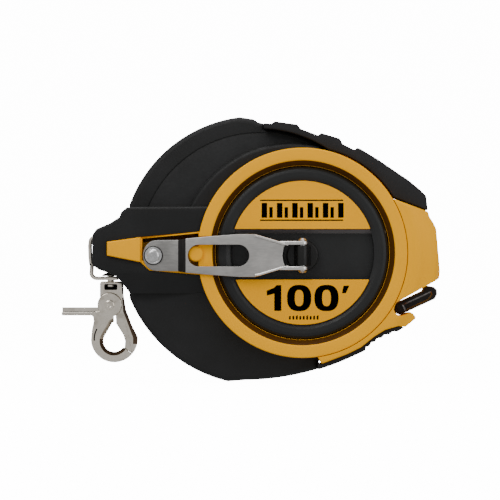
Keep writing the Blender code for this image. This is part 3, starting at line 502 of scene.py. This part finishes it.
def build_shells():
    outline = shell_outline()
    rear = prism("shell_rear", outline, 0, 0, RUBBER, rounded(0, SPLIT, 2.8, 0.25, 6))
    cut(rear, cylinder("chamber_r", DRUM_X, 0, 69.5, 2.5, SPLIT + 1, steps=144))
    for x, z in ((-89.1, 37.4), (-47.8, 70.6), (-86.2, -41.9)):
        cut(rear, cylinder("seat", x, z, 3.2, -1, 3.1, steps=40))
        cut(rear, cylinder("hole", x, z, 1.7, -1, 18, steps=24))
    front = prism("shell_front", outline, 0, 0, RUBBER, rounded(SPLIT + GAP, 25.5, 0.25, 3.1, 7))
    dish = [(0, 20), (SEAM_R, 20), (SEAM_R, 25.45), (67.0, 26.05), (55, 28.1), (42.0, 30.5), (0, 30.5)]
    fuse(front, turned("dish", dish, DRUM_X, 0, steps=160))
    groove = [(SEAM_R - 0.3, 25.0), (SEAM_R + 0.3, 25.0), (SEAM_R + 0.45, 27), (SEAM_R - 0.45, 27)]
    seam = turned("seam", groove, DRUM_X, 0, steps=160)
    cut(front, cut(seam, box("seam_end", (-110, 60), (20, 30), (-80, 26))))
    chamber = [(0, SPLIT - 1), (69.5, SPLIT - 1), (69.5, 21.0), (67.5, 23.0), (0, 23.0)]
    cut(front, turned("chamber_f", chamber, DRUM_X, 0, steps=144))
    cut(front, cylinder("moat", 0, 0, RING_R + 0.4, 26.3, 33, steps=180))
    cut(front, cylinder("well", 0, 0, 48.0, 20, 33))
    cut(front, prism("pocket_well", inset(nose_strip(), -GAP), 25.4, 33))
    for obj, node in ((rear, "rear_shell"), (front, "front_shell")):
        show(settle(obj), "case", "black_rubber", node)


def build_nose():
    shoulder = [(-52.0, 27.0), (-101.4, 26.4), (-102.9, 25.2), (-105.0, 23.4), (-105.7, 20.8), (-111.0, 17.3),
                (-119.1, 13.8), (-121.4, 10.5), (-121.4, -7.2), (-117.8, -9.8), (-112.4, -11.6),
                (-108.0, -13.4), (-104.4, -17.3), (-101.4, -21.4), (-99.9, -23.6), (-52.0, -23.6)]
    block = prism("nose_skin", shoulder, 0, 0, NOSE, rounded(0.6, 37.5, 1.2, 1.6, 5), soft=1.6)
    rim = arc(-6.5, -2, 65.4, 76, 160, 60) + arc(0, 0, 58, 160, 76, 40)
    fuse(block, prism("rim", rim, 0, 0, None, rounded(26.4, 34.5, 0, 2.4, 5)))
    cut(block, box("nose_seat", (-100.6, -40), (-1, 25.8), (-30, 30)))
    under = [(0, 20), (SEAM_R, 20), (SEAM_R, 25.9), (42.0, 30.7), (0, 30.7)]
    cut(block, turned("under_nose", under, DRUM_X, 0, steps=144))
    cut(block, cylinder("ring_seat", 0, 0, RING_CLEAR, 20, 41, steps=160))
    cut(block, prism("strip_seat", inset(nose_strip(), -GAP), 20, 41))
    slot = [(-125.0, -14.0), (-120.3, -14.0), (-112.2, 0.8), (-110.6, 8.0)]
    slot += arc(*BAIL_PIVOT, 8.5, 60, 150, 18) + [(-126.0, 9.5)]
    cut(block, prism("bail_slot", slot, SNAP_DEPTH - 6.2, SNAP_DEPTH + 6.2))
    cut(block, cylinder("relief", SWIVEL_X, SNAP_DEPTH, RELIEF_R, -30, -10.6, steps=64, axis="Z"))
    slope = [(-11.0, 40.0), (-11.0, 37.6), (-14.0, 36.9), (-24.5, 29.6), (-30.0, 27.0), (-30.0, 40.0)]
    cut(block, prism("slope", slope, -130, -50, place=lengthwise))
    show(settle(block, 0.25), "case", "black_plastic", "nose_block")


def build_bezel():
    profile = [(54.6, 26.6), (RING_R, 26.6), (RING_R, FRONT), (53.7, FRONT), (50.3, 36.4),
               (50.3, 30.3), (54.6, 30.3)]
    ring = turned("bezel_skin", fillet(profile, 0.9), 0, 0, YELLOW, steps=192)
    fuse(ring, prism("strip_body", nose_strip(), 25.7, 37.7))
    pad = [(-113.0, -1.6), (-93.4, -5.5), (-93.4, 9.1), (-113.0, 6.4)]
    fuse(ring, prism("pad", inset(pad, 0.05), 0, 0, None, rounded(26.1, FRONT, 0, 0.8, 4), soft=0.7))
    top = [(-92.4, -4.0), (-88.1, -9.0), (-60.0, -11.3), (-60.0, 11.2), (-92.4, 8.2)]
    floor = [(-92.4, -3.6), (-88.1, -8.4), (-60.0, -9.5), (-60.0, 8.0), (-92.4, 6.2)]
    wide = [(-93.3, -4.4), (-88.3, -9.4), (-60.0, -11.7), (-60.0, 11.6), (-93.3, 8.5)]
    cut(ring, stack("pocket", [(floor, 26.9), (top, 37.0), (wide, 41.0)]))
    cut(ring, box("arm_recess", (-67.0, -49.0), (38.2, 42.0), (-12.4, 9.6)))
    fuse(ring, prism("nub", circle(-61.7, ARM_Z + 0.9, 4.4, 48), 0, 0, None, rounded(26.3, FRONT, 0, 1.2, 5)))
    cut(ring, cylinder("disc_clear", 0, 0, 50.3, 24, 36.3, steps=192))
    cut(ring, cylinder("flange", 0, 0, 54.6, 24, 30.3, steps=192))
    inside = [(0, 36.2), (50.35, 36.2), (53.9, 40.2), (53.9, 42), (0, 42)]
    cut(ring, turned("mouth_clear", inside, 0, 0, steps=192))
    settle(ring, 0.3)
    # painted shade: the ring's inner wall down to the disc is darkened
    tint(ring, RECESS_SHADE, lambda x, d, z, n: n.y > -0.82 and math.hypot(x, z) < 53.9 and d > 36.3)
    # painted shade: the pocket's upper wall strip above the arm is browned
    tint(ring, POCKET_WALL_SHADE, lambda x, d, z, n: -93.0 < x < -61.5 and z > 6.0 and d > 36.0
         and math.hypot(x, z) > 61.2)
    # painted shade: the strip below the arm, and the pocket's walls and floor, are darkened
    tint(ring, RECESS_SHADE, lambda x, d, z, n: -92.6 < x < -61.0 and z < -6.0 and math.hypot(x, z) > 61.0)
    tint(ring, RECESS_SHADE, lambda x, d, z, n: n.y > -0.97 and -93.6 < x < -54.0 and 26.9 < d < 38.1
         and math.hypot(x, z) > 54.0 and math.hypot(x + 61.7, z - ARM_Z - 0.9) > 4.6)
    show(ring, "case", "yellow_plastic", "bezel")


# The mouth's lower lip follows the end hook more closely than the CAD's lip does.
HOUSING_RIGHT = [
    (11.0, -64.2), (26.0, -58.5), (33.8, -54.6), (41.5, -48.4), (47.7, -44.6), (55.5, -42.2),
    (59.4, -43.0), (66.0, -37.6), (63.2, -34.3), *arc(56.9, -32.3, 4.1, -65, -175, 12), (53.4, -30.2),
    (54.3, -28.7), (79.4, -14.9), (79.9, -10.6), (78.7, 0.0), (77.5, 13.8), (75.8, 17.3),
    (73.5, 20.8), (72.6, 23.8), (52.4, 31.3),
]


def build_housing():
    outline = HOUSING_RIGHT + arc(0, 0, RING_CLEAR, 31.0, 72.0, 24) + [(0, 40), (-10, 0), (0, -45)]
    rear = prism("housing_rear", outline, 0, 0, YELLOW, rounded(0, SPLIT, 1.2, 0.2, 4), soft=1.4)
    cut(rear, cylinder("drum_r", DRUM_X, 0, SHELL_CLEAR, -1, SPLIT + 1, steps=160))
    front = prism("housing_front", outline, 0, 0, YELLOW, rounded(SPLIT + GAP, FRONT, 0.2, 1.0, 4), soft=1.4)
    cut(front, cylinder("drum_f", DRUM_X, 0, SHELL_CLEAR, 0, 26.6, steps=160))
    cut(front, cylinder("ring_f", 0, 0, RING_CLEAR, 26.43, 42, steps=180))
    sweep = [(63.0, 42), (63.0, 40.2), (67.4, 39.7), (69.4, 38.8), (71.4, 37.5), (76.0, 36.3),
             (78.0, 34.9), (79.0, 33.5), (79.7, 31), (79.9, 27.5), (95, 27.5), (95, 42)]
    cut(front, turned("sweep", sweep, 0, 0, steps=192))
    hollow = [(18.0, -58.5), (25.0, -55.9), (32.6, -52.3), (40.1, -46.4), (46.8, -42.2), (50.4, -41.2),
              (50.4, -27.9), (76.4, -13.6), (77.0, -10.5), (76.0, 0.0), (74.9, 12.7), (73.4, 15.9),
              (71.0, 20.0), (70.4, 21.9), (52.0, 28.7), (40, 30), (0, 30), (0, -50)]
    for obj, low, high in ((rear, 2.5, SPLIT + 1), (front, SPLIT - 1, 35.0)):
        space = prism("hollow_" + obj.name, hollow, low, high)
        cut(space, cylinder("inner_" + obj.name, DRUM_X, 0, HOLLOW_CLEAR, -2, 28.8, steps=120))
        cut(space, cylinder("inner2_" + obj.name, 0, 0, 63.2, 25, 42, steps=120))
        cut(obj, space)
    mouth = [(50, -2.6), (60, -2.6), (60, 2.6), (50, 2.6)]
    cut(rear, prism("mouth", [along_tape(t, s) for t, s in mouth], 3.4, SPLIT + 1))
    for x, z in ((66.5, 4.0), (35.2, -47.4)):
        cut(rear, cylinder("seat_h", x, z, 3.2, -1, 3.1, steps=40))
    show(settle(rear), "case", "yellow_plastic", "end_housing_rear")
    show(settle(front), "case", "yellow_plastic", "end_housing_front")


def along_tape(t, s):
    ux, uz = math.cos(TAPE_ANGLE), math.sin(TAPE_ANGLE)
    return (DRUM_X + (TAPE_RHO - s) * uz + t * ux, -(TAPE_RHO - s) * ux + t * uz)


def build_grips():
    pads = [
        (72.3, 27.7), (71.7, 32.9), (68.3, 36.4), (61.3, 42.2), (54.3, 46.9), (43.9, 54.0),
        (33.5, 60.3), (31.6, 60.9), (30.3, 59.5), (23.4, 63.0), (21.6, 66.2), (10.9, 69.4),
        (9.1, 68.0), (-1.0, 71.8), (-2.9, 74.3), (-15.9, 76.1), (-18.0, 74.7), (-22.4, 75.1),
    ]
    inner = arc(DRUM_X, 0, 71.9, 87.9, 56.0, 24) + arc(0, 0, RING_R + 0.9, 72.0, 31.6, 30)
    outline = pads + inner + [(72.7, 24.3)]
    grip = prism("grip_skin", outline, 0, 0, GRIP, rounded(0.8, 34.8, 1.0, 0.9, 4), soft=0.8)
    show(settle(grip), "case", "black_rubber", "top_grip")

    start, bend, end = Vector((34.5, -57.4)), Vector((40.5, -48.3)), Vector((57.6, -43.9))
    outer = [(x, keel(x)) for x in (9.0, 13.0, 18.0, 22.0, 26.0, 30.0)]
    ribs = 6
    for i in range(2 * ribs + 1):
        t = i / (2 * ribs)
        tangent = ((bend - start) * (1 - t) + (end - bend) * t).normalized()
        outward = Vector((tangent.y, -tangent.x))
        point = start * (1 - t) ** 2 + bend * (2 * t * (1 - t)) + end * t**2
        outer.append(tuple(point + outward * (0.9 if i % 2 else 0.0)))
    inner = [(58.9, -43.2), (55.6, -42.4), (47.9, -44.8), (41.7, -48.6), (34.0, -54.8),
             (26.1, -58.7), (10.8, -64.4), (9.0, -63.4)]
    strip = prism("keel_skin", outer + inner, 0, 0, GRIP, rounded(1.0, KEEL_FRONT, 0.3, 0.3, 3), soft=0.7)
    show(settle(strip), "case", "black_rubber", "keel_strip")


# Crank.


def band(r, low, high, steps=24):
    a, b = math.degrees(math.asin(low / r)), math.degrees(math.asin(high / r))
    return arc(0, 0, r, a, b, steps) + arc(0, 0, r, 180 - b, 180 - a, steps)


def build_disc():
    profile = [(0, 35.6), (41.9, 35.6), (44.2, 36.6), (46.7, 36.7), (48.4, 36.2), (49.5, 35.2), (49.9, 34.2),
               (49.9, 29.9), (54.2, 29.9), (54.2, 26.7), (43.3, 26.7), (43.3, 23.6), (39.6, 23.6),
               (39.6, 29.2), (0, 29.2)]
    disc = turned("disc_skin", fillet(profile, 0.3, 3), 0, 0, DISC, steps=192)
    channel = [(band(41.0, -15.0, 11.2), 31.5), (band(41.5, -15.1, 13.3), 35.65),
               (band(41.5, -15.2, 15.1), 38.0)]
    cut(disc, stack("channel", channel))
    settle(disc, 0.2)
    # painted highlight: the channel's upper chamfer faces get the lighter grey
    tint(disc, CHANNEL_HIGHLIGHT, lambda x, d, z, n: 11.3 < z < 13.5 and 31.6 < d < 35.6)
    show(disc, "crank", "black_plastic", "crank_disc")

    dome = fillet([(0, 31.0), (9.3, 31.0), (9.0, 37.3), (0, 37.3)], 0.8)
    boss = turned("hinge_boss", dome, 0, ARM_Z, BOSS, 64)
    lug = [(-6.5, 33.0)] + [(x, PIN_DEPTH + z) for x, z in arc(0, 0, 3.4, 180, 0, 24)] + [(6.5, 33.0)]
    levels = rounded(ARM_Z - 5.9, ARM_Z + 5.9, 0.6, 0.6, 4)
    fuse(boss, prism("lug", lug, 0, 0, None, levels, place=upright))
    cut(boss, cylinder("lug_bore", 0, PIN_DEPTH, 2.1, -20, 20, steps=32, axis="Z"))
    show(settle(boss, 0.2), "crank", "black_plastic")

    for name, start, end in (("upper", 19.2, 160.8), ("lower", 201.8, 338.2)):
        outline = softened(arc(0, 0, 41.6, start, end, 64), 1.1, 5)
        label = prism(f"{name}_label_skin", outline, 0, 0, LABEL, rounded(35.9, 36.9, 0, 0.25, 3))
        show(label, "crank", "label_print", f"{name}_label")


def glyph(name, outline, hole=None):
    made = prism(name, outline, 36.86, 36.9, INK)
    if hole:
        cut(made, prism(name + "_hole", hole, 36, 38))
    return show(settle(made), "crank", "label_print")


def rounded_zero(cx, cz, w, h, power, steps=64):
    made = []
    for i in range(steps):
        a = 2 * math.pi * i / steps
        c, s = math.cos(a), math.sin(a)
        u = math.copysign(abs(c) ** (2 / power), c) * w / 2
        v = math.copysign(abs(s) ** (2 / power), s) * h / 2
        made.append((cx + u, cz + v))
    return made


def build_print():
    """The length figure, and a plain tick scale between two rules on the upper label."""
    low, high = -33.6, -18.7
    one = [(-12.2, low), (-12.2, high), (-15.0, high), (-16.4, high - 1.5), (-20.6, high - 3.2),
           (-20.6, high - 6.1), (-16.3, high - 4.9), (-16.3, low)]
    glyph("figure_1", one)
    middle = (low + high) / 2
    for i, x in enumerate((-1.9, 13.9)):
        glyph(f"figure_0_{i}", rounded_zero(x, middle, 14.0, 15.2, 2.5),
              rounded_zero(x, middle, 5.0, 9.4, 2.6))
    glyph("foot_mark", [(22.8, -23.4), (23.8, -19.0), (27.1, -19.0), (25.1, -23.4)])
    for i in range(9):
        x = -7.8 + 2.0 * i
        glyph(f"small_tick_{i}", [(x, -38.6), (x + 1.1, -38.6), (x + 1.1, -36.6 + (i % 3) * 0.3), (x, -36.6)])
    for name, z in (("rule_low", 18.4), ("rule_high", 29.9)):
        glyph(name, [(-24.5, z), (23.6, z), (23.6, z + 0.8), (-24.5, z + 0.8)])
    for i in range(11):
        x = -23.6 + 4.42 * i
        wide, tall = (3.2, 8.6) if i % 2 == 0 else (2.0, 6.2)
        glyph(f"bar_{i}", [(x, 20.2), (x + wide, 20.2), (x + wide, 20.2 + tall), (x, 20.2 + tall)])


def build_arm():
    edge = [(-84.2, 8.9), (-72.0, 9.1), (-67.0, 9.9), (-52.0, 11.3), (-37.0, 12.4), (-27.5, 12.4),
            (-25.0, 11.8), (-11.6, 7.6)]
    tip = [(-84.2 + (x + 84.2) * 0.9, z) for x, z in arc(-84.2, 0, 8.9, 105, 255, 28)]
    inner = [(-9.8, -6.6), (-10.9, -4.2), (-11.6, 0.0), (-10.9, 4.2), (-9.8, 6.6)]
    outline = [(x, z + ARM_Z) for x, z in tip + [(x, -z) for x, z in edge] + inner + edge[::-1]]
    arm = prism("arm_skin", outline, 0, 0, ARM_STEEL, rounded(*PLATE, 0.3, 0.45, 3))
    slot = arc(-37.05, ARM_Z, 6.3, -90, 90, 28) + arc(-59.9, ARM_Z, 6.3, 90, 270, 28)
    bm = bmesh.new()
    bm.from_mesh(arm.data)
    for x in (-71.8, -71.2, -68.0, -67.4):
        everything = bm.verts[:] + bm.edges[:] + bm.faces[:]
        bmesh.ops.bisect_plane(bm, geom=everything, plane_co=(x * MM, 0, 0), plane_no=(1, 0, 0))
    for vert in bm.verts:
        fall = min(1.0, max(0.0, (-67.6 - vert.co.x / MM) / 4.0))
        vert.co.y += 2.5 * MM * (3 * fall**2 - 2 * fall**3)
    # painted shade: the step band gets the near-black steel and the sunk end the darker steel
    arm.data.materials.append(ARM_STEP_SHADE)
    arm.data.materials.append(ARM_END_SHADE)
    for face in bm.faces:
        middle = face.calc_center_median()
        if middle.x / MM < -67.5:
            face.material_index = 1 if middle.x / MM > -71.7 else 2
    bm.to_mesh(arm.data)
    bm.free()
    cut(arm, prism("arm_slot", slot, 36, 46))
    cut(arm, cylinder("screw_hole", KNOB_X, ARM_Z, 2.5, 36, 44, steps=32))
    show(settle(arm, 0.22), "arm", "arm_steel", "crank_arm")

    # painted highlight: the hinge ears and the rolled lips take the brighter copy of the arm steel
    ear = [(-13.5, 40.6), (-13.5, 42.0), (-5.0, PIN_DEPTH + 2.9)]
    ear += [(x, PIN_DEPTH + z) for x, z in arc(0, 0, 3.1, 90, -90, 20)] + [(-5.0, PIN_DEPTH - 2.9)]
    for name, low in (("ear_upper", ARM_Z + 6.2), ("ear_lower", ARM_Z - 8.4)):
        levels = rounded(low, low + 2.2, 0.5, 0.5, 4)
        made = prism(name, ear, 0, 0, ARM_EDGE_HIGHLIGHT, levels, place=upright)
        cut(made, cylinder(name + "_bore", 0, PIN_DEPTH, 2.1, -20, 20, steps=32, axis="Z"))
        show(settle(made), "arm", "arm_steel")
    for name, side in (("lip_upper", 1), ("lip_lower", -1)):
        line = [(-27.6, 11.4), (-24.8, 10.9), (-11.5, 6.9), (-8.0, 6.3)]
        path = [(x, ARM_Z + side * z) for x, z in line]
        made = prism(name, ribbon(path, 1.5), 0, 0, ARM_EDGE_HIGHLIGHT, rounded(40.6, 43.0, 0, 0.7, 5))
        show(settle(made), "arm", "arm_steel")


def build_knob():
    face = 39.6
    head = [(2.2, 29.5), (2.2, face + 0.15), (5.5, face + 0.15), (5.5, face + 0.7), (4.9, face + 1.2),
            (4.3, face + 1.25), (3.9, face + 1.1), (3.4, face + 1.75), (2.4, face + 2.3), (0, face + 2.4)]
    screw = turned("knob_screw_skin", [(0, 29.5)] + head, KNOB_X, ARM_Z, ZINC, steps=64)
    hexagon = circle(KNOB_X, ARM_Z, 1.5, 6)
    cut(screw, prism("hex_drive", hexagon, face + 1.2, face + 4))
    settle(screw, 0.08)
    # painted shade: the outer rim of the screw head is darkened, as a shadow ring round it
    tint(screw, ARM_STEP_SHADE, lambda x, d, z, n: math.hypot(x - KNOB_X, z - ARM_Z) > 4.75 and d > face)
    show(screw, "arm", "bright_steel", "knob_screw")


# Tape end, bail and snap hook.


def build_tape():
    start, end, r = 60.6, 84.8, 3.7
    body = arc(start, 0, r, 90, 270, 24) + [(end - 3.4, -r), (end - 0.9, -1.8), (end, 0.6), (end - 0.8, 2.9)]
    body += [(82.0, 4.4), (80.8, 5.1), (79.2, 5.3), (77.6, 4.7), (77.0, r)]
    outline = [along_tape(t, s) for t, s in body]
    levels = rounded(TAPE_DEPTH - 6.5, TAPE_DEPTH + 6.5, 0.7, 0.7, 5)
    hook = prism("hook_skin", outline, 0, 0, HOOK, levels, soft=0.6)
    slot = [(55, -0.5), (75, -0.5), (75, 0.5), (55, 0.5)]
    cut(hook, prism("blade_slot", [along_tape(t, s) for t, s in slot], 5.2, 15.3))
    gap = [(66.5, -1.5), (90, -1.5), (90, 1.5), (66.5, 1.5)]
    cut(hook, prism("hook_gap", [along_tape(t, s) for t, s in gap], 0, 14.0))
    corners = [(63.5, -1.9), (77.5, -2.0), (80.5, -0.4), (80.5, 0.6), (63.5, 0.6)]
    panel = [along_tape(t, s) for t, s in corners]
    wide = inset(panel, -0.9)
    cut(hook, stack("panel", [(panel, 16.0), (wide, 16.8), (wide, 18.0)]))
    settle(hook, 0.25)
    # painted highlight: the panel's slanted walls get the light grey line
    tint(hook, HOOK_PANEL_HIGHLIGHT, lambda x, d, z, n: 15.9 < d < 16.7 and abs(n.y) < 0.9 and n.z > -0.7)
    show(hook, "tape", "dark_steel", "end_hook")


def build_bail():
    x, z = BAIL_PIVOT
    line = arc(x, z, 2.75, -60, 125, 28)
    side = [(-119.6, 8.2), (-121.2, 9.2), (-122.9, 7.6), (-123.4, 4.0), (-123.2, -2.0), (-122.6, -8.5)]
    line += softened(side, 2)
    line += arc(-119.2, -11.5, 3.4, 190, 270, 12) + [(-107.0, -14.9)]
    levels = rounded(SNAP_DEPTH - STRAP_HALF, SNAP_DEPTH + STRAP_HALF, 0.5, 0.5, 3)
    strap = prism("bail_skin", ribbon(line, STRAP), 0, 0, NICKEL, levels)
    cut(strap, cylinder("post_hole", SWIVEL_X, SNAP_DEPTH, 2.3, -20, -10, steps=32, axis="Z"))
    show(settle(strap), "bail", "nickel_plate", "bail_strap")


SEAM_IN = (-103.2, -55.2)
SEAM_OUT = (-98.8, -58.9)
BOWL = (-109.2, -50.1, 13.6)
EYE = (-109.4, -51.4, 6.3)


def hook_outlines():
    """The snap hook's fixed frame and its jaw, which meet on a slanting seam."""
    hx, hz = SNAP_HEAD
    side = [(-103.9, -24.5), (-102.5, -33.2), (-99.2, -41.9)]
    inner = [(-102.9, -51.4), (-103.9, -47.9), (-108.2, -41.0), (-108.2, -38.8)]
    yoke = [(-117.6, -26.3), (-117.6, -17.6), (-116.6, -16.6), (-104.9, -16.6), (-103.9, -17.6)]
    fixed = yoke + side + arc(*BOWL, 5, -39.5, 24) + [SEAM_IN] + inner
    fixed += arc(hx, hz, HEAD_R - 0.2, -60, -202, 40)
    head = arc(hx, hz, HEAD_R, -71, 208, 72)
    lever = [(-120.0, -34.1), (-138.9, -34.1), (-139.8, -34.6), (-139.8, -36.0), (-139.2, -36.5),
             (-122.2, -36.5)]
    limb = [(-121.4, -37.6), (-121.2, -40.0), (-122.2, -44.8)]
    seam = [(x - 0.09, z - 0.09) for x, z in (SEAM_OUT, SEAM_IN)]
    inside = arc(*EYE, -38, -210, 36) + [(-110.4, -40.6), (-109.4, -40.2)]
    return fixed, head + lever + limb + arc(*BOWL, 183, 316, 48) + seam + inside


def build_snap():
    top = POST_TOP
    post = [(0, top + 2.2), (2.4, top + 2.0), (4.2, top + 1.3), (5.1, top + 0.5), (5.2, top), (2.0, top),
            (2.0, -18.5), (3.0, -18.5), (3.0, -19.6), (2.2, -20.3), (0, -20.3)]
    post = turned("post_skin", fillet(post[::-1], 0.25, 3), SWIVEL_X, SNAP_DEPTH, NICKEL, 64, "Z")
    show(post, "snap", "nickel_plate", "swivel_post")

    hx, hz = SNAP_HEAD
    low, high = SNAP_DEPTH - SNAP_HALF, SNAP_DEPTH + SNAP_HALF
    fixed, moving = hook_outlines()
    body = prism("snap_frame_skin", fixed, 0, 0, NICKEL, rounded(low, high, 1.0, 1.0, 5))
    cut(body, cylinder("jaw_clear", hx, hz, HEAD_R + GAP, LAP - GAP / 2, 30, steps=96))
    window = [(-115.0, -21.6), (-107.4, -21.6), (-107.4, -18.2), (-115.0, -18.2)]
    cut(body, prism("post_window", softened(window, 0.8), low + 0.4, 30))
    cut(body, cylinder("post_bore", SWIVEL_X, SNAP_DEPTH, 2.3, -19, -15, steps=32, axis="Z"))
    cut(body, cylinder("frame_rivet_hole", hx, hz, 2.0, 10, 30, steps=32))
    chamfer = [(-101.0, -26.0), (-104.6, -26.0), (-104.0, -34.0), (-100.8, -42.5), (-98.2, -49.5),
               (-98.3, -53.0), (-90.0, -53.0), (-90.0, -26.0)]
    cut(body, prism("side_step", chamfer, high - 1.1, 30))
    settle(body, 0.3)
    # painted shade: the frame's side step is darkened
    tint(body, NICKEL_SHADE, lambda x, d, z, n: LAP < d < high - 0.9 and x > -104.8 and z < -22.0)
    # painted shade: the walls of the post window are darkened
    tint(body, NICKEL_GROOVE_SHADE, lambda x, d, z, n: -115.1 < x < -107.3 and -21.7 < z < -18.1
         and low + 0.2 < d < high - 0.1)
    show(body, "snap", "nickel_plate", "snap_frame")

    rivet = [(0, low - 1.1), (1.8, low - 1.0), (2.8, low - 0.3), (1.7, low - 0.3), (1.7, high + 0.3),
             (2.9, high + 0.3), (2.7, high + 0.75), (2.0, high + 1.0), (1.4, high + 0.95),
             (1.1, high + 0.6), (0, high + 0.5)]
    rivet = turned("rivet_skin", fillet(rivet, 0.15, 3), hx, hz, NICKEL, 48)
    show(rivet, "snap", "nickel_plate", "jaw_rivet")

    jaw = prism("snap_jaw_skin", moving, 0, 0, NICKEL, rounded(low, high, 0.8, 0.6, 4))
    fuse(jaw, box("thumb_rest", (-139.5, -118.2), (low + 1.0, LAP + 1.0), (-36.0, -31.7)))
    cut(jaw, cylinder("hub_clear", hx, hz, HEAD_R + 0.1, 10, LAP + GAP / 2, steps=96))
    cut(jaw, cylinder("jaw_rivet_hole", hx, hz, 2.0, 10, 30, steps=32))
    eye = arc(*EYE[:2], EYE[2], 30, -210, 48) + [(-110.4, -40.6), (-109.4, -40.2), (-108.4, -40.6)]
    wide = inset(eye[::-1], -2.0)
    cut(jaw, stack("eye_flare", [(eye[::-1], high - 2.2), (wide, high), (wide, high + 0.5)]))
    groove = ribbon(arc(*BOWL[:2], 11.6, 150, 185, 12), 0.8)
    cut(jaw, prism("limb_groove", groove, high - 0.7, 30))
    settle(jaw, 0.25)
    # painted shade: the groove along the jaw's limb is darkened
    tint(jaw, NICKEL_GROOVE_SHADE, lambda x, d, z, n: math.hypot(x - BOWL[0], z - BOWL[1]) < 12.2
         and x < -117 and z > -51 and high - 0.9 < d < high - 0.2
         and math.hypot(x - BOWL[0], z - BOWL[1]) > 10.8)
    # painted shade: the lever's top face in front of the thumb rest is darkened
    tint(jaw, NICKEL_GROOVE_SHADE, lambda x, d, z, n: x < -120 and z > -34.4 and d > LAP + 1.1 and n.z > 0.3)
    # painted shade: the flared wall round the jaw's eye is darkened
    tint(jaw, NICKEL_SHADE, lambda x, d, z, n: 5.0 < math.hypot(x - EYE[0], z - EYE[1]) < 9.0 and z < -50
         and high - 2.1 < d < high - 0.1 and n.y > -0.97)
    show(jaw, "jaw", "nickel_plate", "snap_jaw")


def finish_cad_nodes():
    """Materials for the CAD nodes that are shown as they are."""
    looks = {
        GREY: ("drum_core", "drum_flange"), ACETAL: ("pinion", "ring_gear"),
        BLADE: ("tape_pack", "tape_blade"),
        HOOK: ("mouth_guide", "hook_rivet_1", "hook_rivet_2"), GALVANISED: ("jaw_spring",), DISC: ("knob",),
    }
    for node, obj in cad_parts.items():
        found = [look for look, names in looks.items() if node in names]
        look = found[0] if found else ZINC
        if not obj.hide_render:
            obj.data.materials.clear()
            obj.data.materials.append(look)
            for polygon in obj.data.polygons:
                polygon.use_smooth = True
            obj.data.set_sharp_from_angle(angle=math.radians(32))


# Stage, light and camera.


def build_stage():
    bm = bmesh.new()
    low, steps = -75.2, 64
    profile = [(1, low), (7500, low), (8700, 500), (9000, 3000), (7500, 6500), (4000, 8500), (1, 9000)]
    rings = []
    for r, z in profile:
        angles = [2 * math.pi * k / steps for k in range(steps)]
        rings.append([bm.verts.new((r * math.cos(a), r * math.sin(a), z)) for a in angles])
    for lower, upper in zip(rings, rings[1:]):
        for i in range(steps):
            j = (i + 1) % steps
            bm.faces.new((lower[i], lower[j], upper[j], upper[i]))
    n = Nodes("paper")
    tone = n.spread(n.noise(3, 2), 0.93, 0.95)
    white = n.add("ShaderNodeCombineColor")
    for socket in white.inputs[:3]:
        n.put(socket, tone)
    material = n.done(white.outputs[0], 0.9)
    n.put(n.shader.inputs["Emission Color"], (1, 1, 1, 1))
    n.put(n.shader.inputs["Emission Strength"], 14.0)
    backdrop = mesh_object("backdrop", bm, material)
    backdrop.visible_diffuse = False
    backdrop.visible_glossy = False
    backdrop.visible_shadow = False


def area_light(name, place, target, size, power, colour=(1, 1, 1)):
    data = bpy.data.lights.new(name, "AREA")
    data.shape = "RECTANGLE"
    data.size, data.size_y = size
    data.energy = power
    data.color = colour
    light = bpy.data.objects.new(name, data)
    bpy.context.scene.collection.objects.link(light)
    light.location = place
    light.rotation_euler = (Vector(target) - Vector(place)).to_track_quat("-Z", "Y").to_euler()


def build_light_and_camera():
    world = bpy.data.worlds.new("studio")
    bpy.context.scene.world = world
    world.use_nodes = True
    world.node_tree.nodes["Background"].inputs["Color"].default_value = (1, 1, 1, 1)
    world.node_tree.nodes["Background"].inputs["Strength"].default_value = 0.6
    middle = (-0.03, 0, 0)
    area_light("key", (-0.55, -0.9, 0.95), middle, (0.7, 0.7), 6.8)
    area_light("fill", (0.85, -0.8, 0.25), middle, (0.6, 0.9), 3)
    area_light("top", (0.0, 0.0, 1.1), middle, (1.2, 0.8), 6.5)

    data = bpy.data.cameras.new("camera")
    data.lens, data.sensor_width = 300.0, 36.0
    data.clip_end = 30
    camera = bpy.data.objects.new("camera", data)
    bpy.context.scene.collection.objects.link(camera)
    width = 290.0
    camera.location = Vector((-30.3, -28.0 - width * data.lens / 36, 1.6)) * MM
    camera.rotation_euler = (math.radians(90), 0, 0)
    bpy.context.scene.camera = camera


build_shells()
build_nose()
build_bezel()
build_housing()
build_grips()
build_disc()
build_print()
build_arm()
build_knob()
build_tape()
build_bail()
build_snap()
finish_cad_nodes()
for scrap in Scratch.made:
    bpy.data.objects.remove(scrap, do_unlink=True)
build_stage()
build_light_and_camera()
